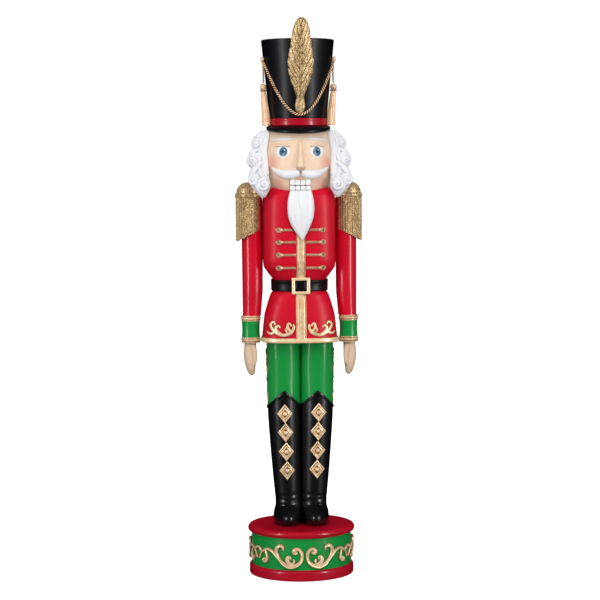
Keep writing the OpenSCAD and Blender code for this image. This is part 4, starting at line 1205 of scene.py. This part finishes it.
# ------------------------------------------------------- hair
def lock(points, r, flat=0.85):
    """A lock of hair: a grooved rod through a few points, with a radius given at as many stations."""
    n = 60
    w = soft(np.linspace(0, 1, n), np.linspace(0, 1, len(r)), r, 0.06)
    return sweep(curve(points, n), w, w * flat, sides=44, grooves=6, depth=0.06, twist=1.5)


def curl(centre, radii, facing, start, turns, thick):
    """A rolled curl: an egg of hair with a strand that winds in over it. facing is the way its eye
    looks, in degrees from the front towards the side; start is where the strand's outer end lies."""
    k = np.linspace(0, 1, int(70 * abs(turns)) + 20)
    away = math.radians(facing)
    eye = np.array([math.sin(away), -math.cos(away), 0])
    side = np.array([math.cos(away), math.sin(away), 0])
    a = math.radians(start) + 2 * math.pi * turns * k
    rho = 0.96 - 0.93 * k
    line = (np.outer(rho * np.cos(a), side) + np.outer(rho * np.sin(a), [0, 0, 1])
            + np.outer(np.sqrt(1 - rho ** 2), eye))
    path = np.array(centre) + line * (np.array(radii) - 0.3 * thick)
    width = thick * (0.75 + 0.25 * np.sin(math.pi * k))
    return [ball(centre, 0.98, radii, n=26), sweep(path, width, width * 0.85, sides=20, up=line)]


WAVES = [  # height, inner edge, outer edge, middle's depth, half depth of the hair beside the face
    [733, 49, 61, -7, 7], [722, 50, 69, -8, 12], [711, 51, 77.5, -9, 14], [703, 52, 75.5, -10, 13],
    [697, 53, 71.5, -11, 12.5], [690, 53.5, 81, -12, 14.5], [683, 53.5, 84.5, -13.5, 15],
    [675, 53, 82.5, -17, 15], [669, 52.5, 77, -23, 14], [663, 51, 80, -30, 13.5],
    [655, 49.5, 84.5, -38, 13.5], [650, 48.5, 84.5, -44, 12.5], [645, 48, 82.5, -45, 12.5],
    [638, 49, 77.5, -45, 12.5], [632, 52, 72, -44.5, 11], [627, 55, 67, -44, 8], [623.5, 58, 63, -44, 3]]


def wavy_mass():
    """The body of the side hair: strands that run down the head and swing in and out with its waves."""
    z_known, *known = np.array(WAVES)[::-1].T
    t = around(144)
    rows = []
    for z in np.linspace(733, 624, 140):
        inner, outer, cy, deep = (float(soft(z, z_known, k, 1.5)) for k in known)
        phase = 4.5 * t + 0.9 * math.sin((z - 640) * 0.14)
        strand = np.abs(np.sin(phase)) ** 0.7
        fine = np.abs(np.sin(3 * phase + 0.5)) ** 0.8
        r = 1 - 0.13 * (1 - strand) - 0.03 * (1 - fine)
        rows.append(oval(t, z, (outer - inner) / 2 * r, deep * r, (outer + inner) / 2, cy))
    return loft(rows)


def side_hair():
    """The hair that frames the face on the figure's left: waves that end in rolled curls, with a
    smooth lock down the cheek. Below the shoulder's top it keeps clear of the swinging epaulette."""
    mass = [wavy_mass(), ball((58, -2, 690), 1.0, (11, 11, 34)), ball((58, -14, 668), 1.0, (10, 12, 14))]
    curls = (curl((68.5, -13, 711), (9, 11.5, 9.5), 20, 130, -1.5, 3.0)
             + curl((72.5, -16, 684), (12, 13, 12.5), 25, 130, -1.6, 3.7)
             + curl((74, -45.5, 652), (10.5, 11.5, 11), 15, 130, -1.5, 3.3)
             + curl((59.5, -48, 645), (11.2, 12, 12.2), 0, 100, -1.6, 3.6))
    cheek = [lock([[49, -15, 731], [53.8, -17, 718], [57, -18, 702], [56.8, -20, 688], [56.2, -25, 674],
                   [55.8, -35, 660]], [4, 5.4, 6.0, 6.2, 6.2, 6], flat=0.75)]
    waves = [lock([[54, -8, 730], [61, -11, 726], [69, -12, 719], [74.5, -12, 711]], [4, 5.5, 5.5, 3.5]),
             lock([[59, -17, 706], [67, -17, 702], [76, -15, 696], [81, -13, 686]], [4, 5.8, 5.8, 4]),
             lock([[59, -23, 681], [68, -28, 676], [76, -36, 667], [81, -44.5, 656]], [4, 6.2, 6.2, 4])]
    return mass + curls + cheek + waves


def build_hair():
    """The side hair, and the back hair with slow waves, flattened where it meets the head."""
    for side, name in SIDES:
        piece(name + "_curls", on_side(side, side_hair()), HAIR, name + "_hair_curls", fuse=0.65, soften=6,
              reach=3.0)
    low, high = node_box("hair_back")
    t = around(300)
    rows = []
    for z in np.linspace(high[2] + 1, low[2] + 0.6, 110):
        r = float(soft(z, [634, 638, 645, 660, 680, 700, 712, 725, 732],
                       [53, 57, 60, 61.5, 61, 59, 57, 52.5, 49], 3))
        wave = 0.26 * np.sin((z - 634) * 0.10 + 0.8 * np.sin(3 * t))
        phase = t * 11 + wave * 5 + 0.7 * np.sin(2 * t)
        groove = np.abs(np.sin(phase)) ** 0.6
        fine = np.abs(np.sin(phase * 3 + 0.8)) ** 0.8
        swing = 0.9 * np.sin(z * 0.12 + 2 * np.sin(2 * t))
        row = oval(t, z, r - 3.0 * (1 - groove) - 0.7 * (1 - fine) + swing)
        row[:, 1] = np.where(row[:, 1] < -4, -4 + (row[:, 1] + 4) * 0.08, row[:, 1])
        rows.append(row)
    piece("hair_back_carved", [loft(rows)], HAIR, "hair_back")


build_skull()
build_nose()
build_eyes()
build_brows_and_moustache()
build_teeth()
build_beard()
build_hair()

# ------------------------------------------------------- hat
CROWN_BASE, CROWN_TOP = CROWN_LOW[2], CROWN_HIGH[2]
CROWN_R1, CROWN_R2 = 46.0, CROWN_HIGH[0]
CROWN_LEAN = (CROWN_R2 - CROWN_R1) / (CROWN_TOP - CROWN_BASE)


def crown_r(z):
    """The crown's radius at height z."""
    return CROWN_R1 + (CROWN_R2 - CROWN_R1) * (np.asarray(z) - CROWN_BASE) / (CROWN_TOP - CROWN_BASE)


def build_hat():
    """The flared crown with its sunk top, the red band, and the brim with its dipped peak."""
    side = []
    for k in np.linspace(0, 1, 40):
        z = CROWN_BASE + k * (CROWN_TOP - 2 - CROWN_BASE)
        side.append([float(crown_r(z)) - 0.2 * math.sin(math.pi * k), z])
    top = arc(CROWN_R2 - 2.2, CROWN_TOP - 2, 2.0, 10, 90) + [
        [CROWN_R2 - 7, CROWN_TOP - 0.4], [CROWN_R2 - 8.4, CROWN_TOP - 1.4], [AXIS, CROWN_TOP - 1.2]]
    piece("crown_turned", [lathe([[AXIS, CROWN_BASE]] + side + top, 192)], BLACK, "hat_crown")

    low, high = (corner[2] for corner in node_box("hat_band"))
    r0, r1 = float(crown_r(low)), float(crown_r(high))
    ring = [[r0 - 1, low], [r0 + 0.8, low], [r0 + 1.4, low + 1]]
    ring += [[r0 + (r1 - r0) * k + 1.5 - 0.3 * math.sin(math.pi * k), low + 1 + k * (high - low - 2)]
             for k in np.linspace(0, 1, 8)]
    ring += [[r1 + 0.8, high], [r1 - 1, high]]
    piece("band_painted", [lathe(ring)], BASE_RED, "hat_band")

    t = around(200)
    dip = np.clip(-np.sin(t), 0, 1) ** 1.5
    profile = [  # radius and height of the brim, then the peak's drop and reach at the front
        (46, 731.5, 0, 0), (48, 731.2, 4.0, 3.5), (51, 733, 6.6, 7.5), (52.2, 734.6, 7.2, 9.4),
        (52.5, 736.4, 7.0, 9.9), (52.2, 738.2, 6.4, 9.6), (51, 739.6, 5.6, 8.4), (49, 740.2, 3.0, 4.0),
        (46, 740.6, 0, 0)]
    rows = [oval(t, z - drop * dip, r + out * dip) for r, z, drop, out in profile]
    piece("brim_carved", [loft(rows)], BLACK, "hat_brim")


PLUME_K = [0, 0.03, 0.07, 0.12, 0.17, 0.24, 0.32, 0.42, 0.53, 0.62, 0.68, 0.76, 0.85, 0.91, 0.955, 0.985, 1.0]
PLUME_HALF = [2.5, 6.8, 8.4, 7.6, 6.0, 9.4, 14.8, 19.4, 21.6, 20.2, 18.0, 16.6, 14.6, 12.6, 9.6, 6.4, 3.0]


def plume_surface(u, k, lift):
    """A point of the plume: u across from -1 to 1, k from the base to the tip."""
    up = k * (PLUME_HIGH[2] - PLUME_LOW[2])
    y = -float(crown_r(PLUME_LOW[2])) - 1.6 - up * CROWN_LEAN
    half = soft(k, PLUME_K, PLUME_HALF, 0.008)
    return np.stack([u * half + up * 0.017, y - lift + 0 * u, PLUME_LOW[2] + up + 0 * u], axis=-1)


def build_plume():
    """A carved feather: a tuft, then slanting barbs in overlapping layers either side of a ridge."""
    layers, barbs = 9.5, 38
    rows, dark = [], []
    u = np.linspace(-1, 1, 81)
    away = np.abs(u)
    for k in np.linspace(0, 1, 260):
        above = np.clip((k - 0.13) / 0.05, 0, 1)
        layer = (k * layers - away ** 1.3 * 2.5 + 0.3 * np.sign(u) + 0.16 * np.sin(k * 19 + 2 * u)) % 1.0
        barb = (k * barbs - away ** 1.1 * 13) % 1.0
        body = 4.2 * (1 - away ** 2.6) ** 0.6 * min(1, (1 - k) * 9 + 0.25)
        spine = 1.6 * hump(u, 0, 0.06) * (0.14 < k < 0.92)
        tuft = 1.6 * hump(k, 0.07, 0.045) * (0.85 + 0.15 * np.cos(u * 9))
        lift = body + above * (1.3 * layer ** 0.8 + 0.3 * barb) + spine + tuft
        edge = (k * layers - 2.5) % 1.0
        narrow = 1 - 0.07 * above * (1 - edge) ** 2
        back = plume_surface(np.array([0.9, 0.4, -0.4, -0.9]), k, -1.0)
        rows.append(np.vstack([plume_surface(u * narrow, k, lift), back]))
        # painted shade in the grooves between layers and barbs, beside the spine and in the tuft
        groove = above * (0.45 * hump(layer, 0, 0.15) + 0.35 * hump(layer, 1, 0.05) + 0.25 * (barb < 0.35))
        groove += 0.6 * hump(away, 0.1, 0.035) * (k > 0.14)
        groove += (1 - above) * 0.5 * hump(away * 5 % 1, 0.5, 0.16)
        dark.append(np.concatenate([np.clip(groove, 0, 1), np.zeros(4)]))
    piece("plume_carved", [(*loft(rows), np.concatenate(dark))], GLITTER, "hat_feather")


def build_swag():
    """The cord that hangs across the crown's front from one tassel to the other."""
    half_span, low_z = 57, 757.5
    t = np.radians(np.linspace(-82, 82, 90))
    x = half_span * np.sin(t)
    z = low_z + 0.0221 * x ** 2 + 1.7e-6 * x ** 4
    out = np.stack([np.sin(t), -np.cos(t), 0 * t], axis=1)
    path = (crown_r(z) + 2.3)[:, None] * out
    path[:, 2] = z
    over_plume = (z < CROWN_BASE + 15) & (np.abs(path[:, 0]) < 20)
    path[over_plume, 1] -= 0.6
    piece("swag_cord", rope(path, 2.3, 9.0, up=out), CORD_GOLD, "hat_cord")


def tassel_parts():
    """A hanging loop, a knotted head and a skirt of twisted strands."""
    a = math.radians(77)
    low, neck, head_z, knot_z = TASSEL_FOOT, 797, 803, 848
    strands = 11

    def at(z):
        """The tassel's axis leans out with the crown, clear of it."""
        r = float(crown_r(max(z, CROWN_BASE + 14))) + 7.0 - 3.8 * np.clip((z - 800) / 30, 0, 1)
        return np.array([math.sin(a) * r, -math.cos(a) * r, z])

    parts = []
    for dz in (-1.5, 1.5):
        loop = curve([at(846) + [0, dz * 0.3, 2], at(836) + [0, dz, 0], at(822) + [0, dz * 1.1, 0],
                      at(810)], 40)
        parts += rope(loop, 1.5, 4.6, 6)
    head = at(head_z)
    parts.append(ball(at(knot_z), 3.9, (0.85, 1, 1.1), n=14))
    parts.append(ball(head, 5.6, (0.95, 1, 0.95), n=18))
    ring = oval(np.linspace(0, 2 * math.pi, 40), neck + 0.4, 4.4, cx=head[0], cy=head[1])
    parts += rope(ring, 1.5, 6, 6)
    n, sides = 26, 8
    for i in range(strands):
        q = 2 * math.pi * i / strands
        points = []
        for k, r in ((0, 2.5), (0.12, 4.0), (0.4, 4.9), (0.75, 5.8), (1, 6.4)):
            c = at(neck + k * (low + 1.2 - neck) + 0.9 * math.sin(i * 2.1) * k)
            points.append(c + [r * math.cos(q) * 0.85, r * math.sin(q), 0])
        path = curve(points, n)
        V, F = sweep(path, np.linspace(1.1, 1.9, n), sides=sides)
        # painted shade on each strand's inner side, towards the tassel's middle
        middle = np.array([at(z) for z in path[:, 2]])
        gap = np.linalg.norm(path - middle, axis=1)
        proud = np.linalg.norm(V.reshape(n, sides, 3) - middle[:, None], axis=2) - gap[:, None]
        parts.append((V, F, np.clip((0.95 - proud.ravel()) / 0.7, 0, 1)))
    core = curve([at(neck), at(770), at(low + 3)], 16)
    parts.append(sweep(core, np.linspace(3.2, 5.2, 16), sides=16))
    return parts


build_hat()
build_plume()
build_swag()
for side, name in SIDES:
    piece(name + "_tassel_strands", on_side(side, tassel_parts()), CORD_GOLD, name + "_tassel")


# ------------------------------------------------------- jaw lever
def build_lever():
    """The lever that works the jaw, with eased edges and a rounded handle at the back."""
    outline = [(-54.9, 633.8), (-54.9, 592), (-40, 588), (-17, 568), (-14, 546), (6, 546), (14, 562),
               (51, 574), (53, 424), (56, 418.3), (61, 418.3), (64, 424), (65, 586), (58, 598), (30, 606),
               (14, 622), (-10, 632), (-38, 633.8)]
    bm = bmesh.new()
    rings = [[bm.verts.new(Vector((x, y, z)) * MM) for y, z in outline] for x in (-LEVER_HALF, LEVER_HALF)]
    bm.faces.new(rings[0])
    bm.faces.new(rings[1][::-1])
    for i in range(len(outline)):
        j = (i + 1) % len(outline)
        bm.faces.new([rings[0][i], rings[1][i], rings[1][j], rings[0][j]])
    bmesh.ops.recalc_face_normals(bm, faces=bm.faces)
    handle = [e for e in bm.edges if all(abs(abs(v.co.x) - LEVER_HALF * MM) < 1e-9 for v in e.verts)
              and min(v.co.y for v in e.verts) > 0.05]
    bmesh.ops.bevel(bm, geom=handle, offset=1.8 * MM, segments=3, profile=0.5, affect="EDGES",
                    clamp_overlap=True)
    bmesh.ops.triangulate(bm, faces=[f for f in bm.faces if len(f.verts) > 4])
    draft = new_object("lever_draft", bm)
    corners = np.array([v.co for v in draft.data.vertices]) / MM
    part = (corners, [tuple(f.vertices) for f in draft.data.polygons])
    bpy.data.objects.remove(draft)
    piece("jaw_lever_carved", [part], BLACK, "jaw_lever", "jaw")


build_lever()


# ------------------------------------------------------- floor, camera, lights
CAMERA_AWAY, CAMERA_HEIGHT = 3.25, 0.69
CAMERA_TURN, CAMERA_ROLL = 3.5, -0.45
PICTURE_WIDTH = 0.991
LOOK_AT = Vector((0.0008, 0.0, 0.4534))
AMBIENT, BACKDROP = 0.47, 1.02


def build_floor():
    """A plain pale floor that neither reflects in the figure nor tints it."""
    bm = bmesh.new()
    bmesh.ops.create_grid(bm, x_segments=2, y_segments=2, size=60)
    floor = new_object("floor", bm)
    m = Nodes("pale_floor")
    tone = m.mix(m.noise(2, 2), (0.90, 0.90, 0.90), (0.93, 0.93, 0.93))
    floor.data.materials.append(m.set(Base_Color=tone, Roughness=0.8, Specular_IOR_Level=0.0,
                                      Emission_Color=(1, 1, 1), Emission_Strength=0.75))
    floor.visible_glossy = floor.visible_diffuse = False


def build_camera():
    """The photograph's view, from a little to the figure's right and below its hat."""
    turn = math.radians(CAMERA_TURN)
    camera = bpy.data.objects.new("camera", bpy.data.cameras.new("camera"))
    bpy.context.collection.objects.link(camera)
    camera.location = (-CAMERA_AWAY * math.sin(turn), -CAMERA_AWAY * math.cos(turn), CAMERA_HEIGHT)
    aim = LOOK_AT - Vector(camera.location)
    look = aim.to_track_quat("-Z", "Y") @ Quaternion((0, 0, 1), math.radians(CAMERA_ROLL))
    camera.rotation_euler = look.to_euler()
    camera.data.lens = camera.data.sensor_width * aim.length / PICTURE_WIDTH
    camera.data.clip_end = 50
    bpy.context.scene.camera = camera


def build_backdrop():
    """A white surround, dimmer as light than as seen, and left out of reflections."""
    world = bpy.data.worlds.new("studio")
    bpy.context.scene.world = world
    world.use_nodes = True
    sky = world.node_tree
    backdrop = sky.nodes["Background"]
    backdrop.inputs["Color"].default_value = (1, 1, 1, 1)
    ray = sky.nodes.new("ShaderNodeLightPath")
    dim = sky.nodes.new("ShaderNodeMapRange")
    dim.inputs["To Min"].default_value, dim.inputs["To Max"].default_value = AMBIENT, BACKDROP
    sky.links.new(ray.outputs["Is Camera Ray"], dim.inputs["Value"])
    sky.links.new(dim.outputs["Result"], backdrop.inputs["Strength"])
    world.cycles_visibility.glossy = False
    bpy.context.scene.view_settings.view_transform = "Standard"


def softbox(name, place, power, width, height, aim_at, shine=True, wash=True):
    """A soft lamp. shine lets it show in gloss, wash lets it light the paint."""
    light = bpy.data.objects.new(name, bpy.data.lights.new(name, "AREA"))
    bpy.context.collection.objects.link(light)
    light.location = place
    light.rotation_euler = (Vector(aim_at) - Vector(place)).to_track_quat("-Z", "Y").to_euler()
    light.data.shape = "RECTANGLE"
    light.data.energy, light.data.size, light.data.size_y = power, width, height
    light.visible_glossy, light.visible_diffuse = shine, wash


build_floor()
build_camera()
build_backdrop()
CHEST_HEIGHT, STRIP_HEIGHT = (0, 0, 0.6), (0, 0, 0.97)
softbox("wash", (-0.2, -1.8, 2.1), 26, 1.5, 1.5, CHEST_HEIGHT, shine=False)
softbox("key", (-2.3, -1.7, 1.1), 16, 0.5, 1.5, CHEST_HEIGHT, shine=False)
softbox("fill", (1.6, -2.3, 0.55), 22, 0.5, 1.2, CHEST_HEIGHT, shine=False)
softbox("left_strip", (-2.3, -1.7, 0.97), 52, 0.26, 1.9, STRIP_HEIGHT, wash=False)
softbox("right_strip", (2.1, -1.8, 0.97), 62, 0.26, 1.9, STRIP_HEIGHT, wash=False)
softbox("rim", (0.6, 2.0, 2.2), 24, 1.2, 1.2, (0, 0, 0.45), shine=False)
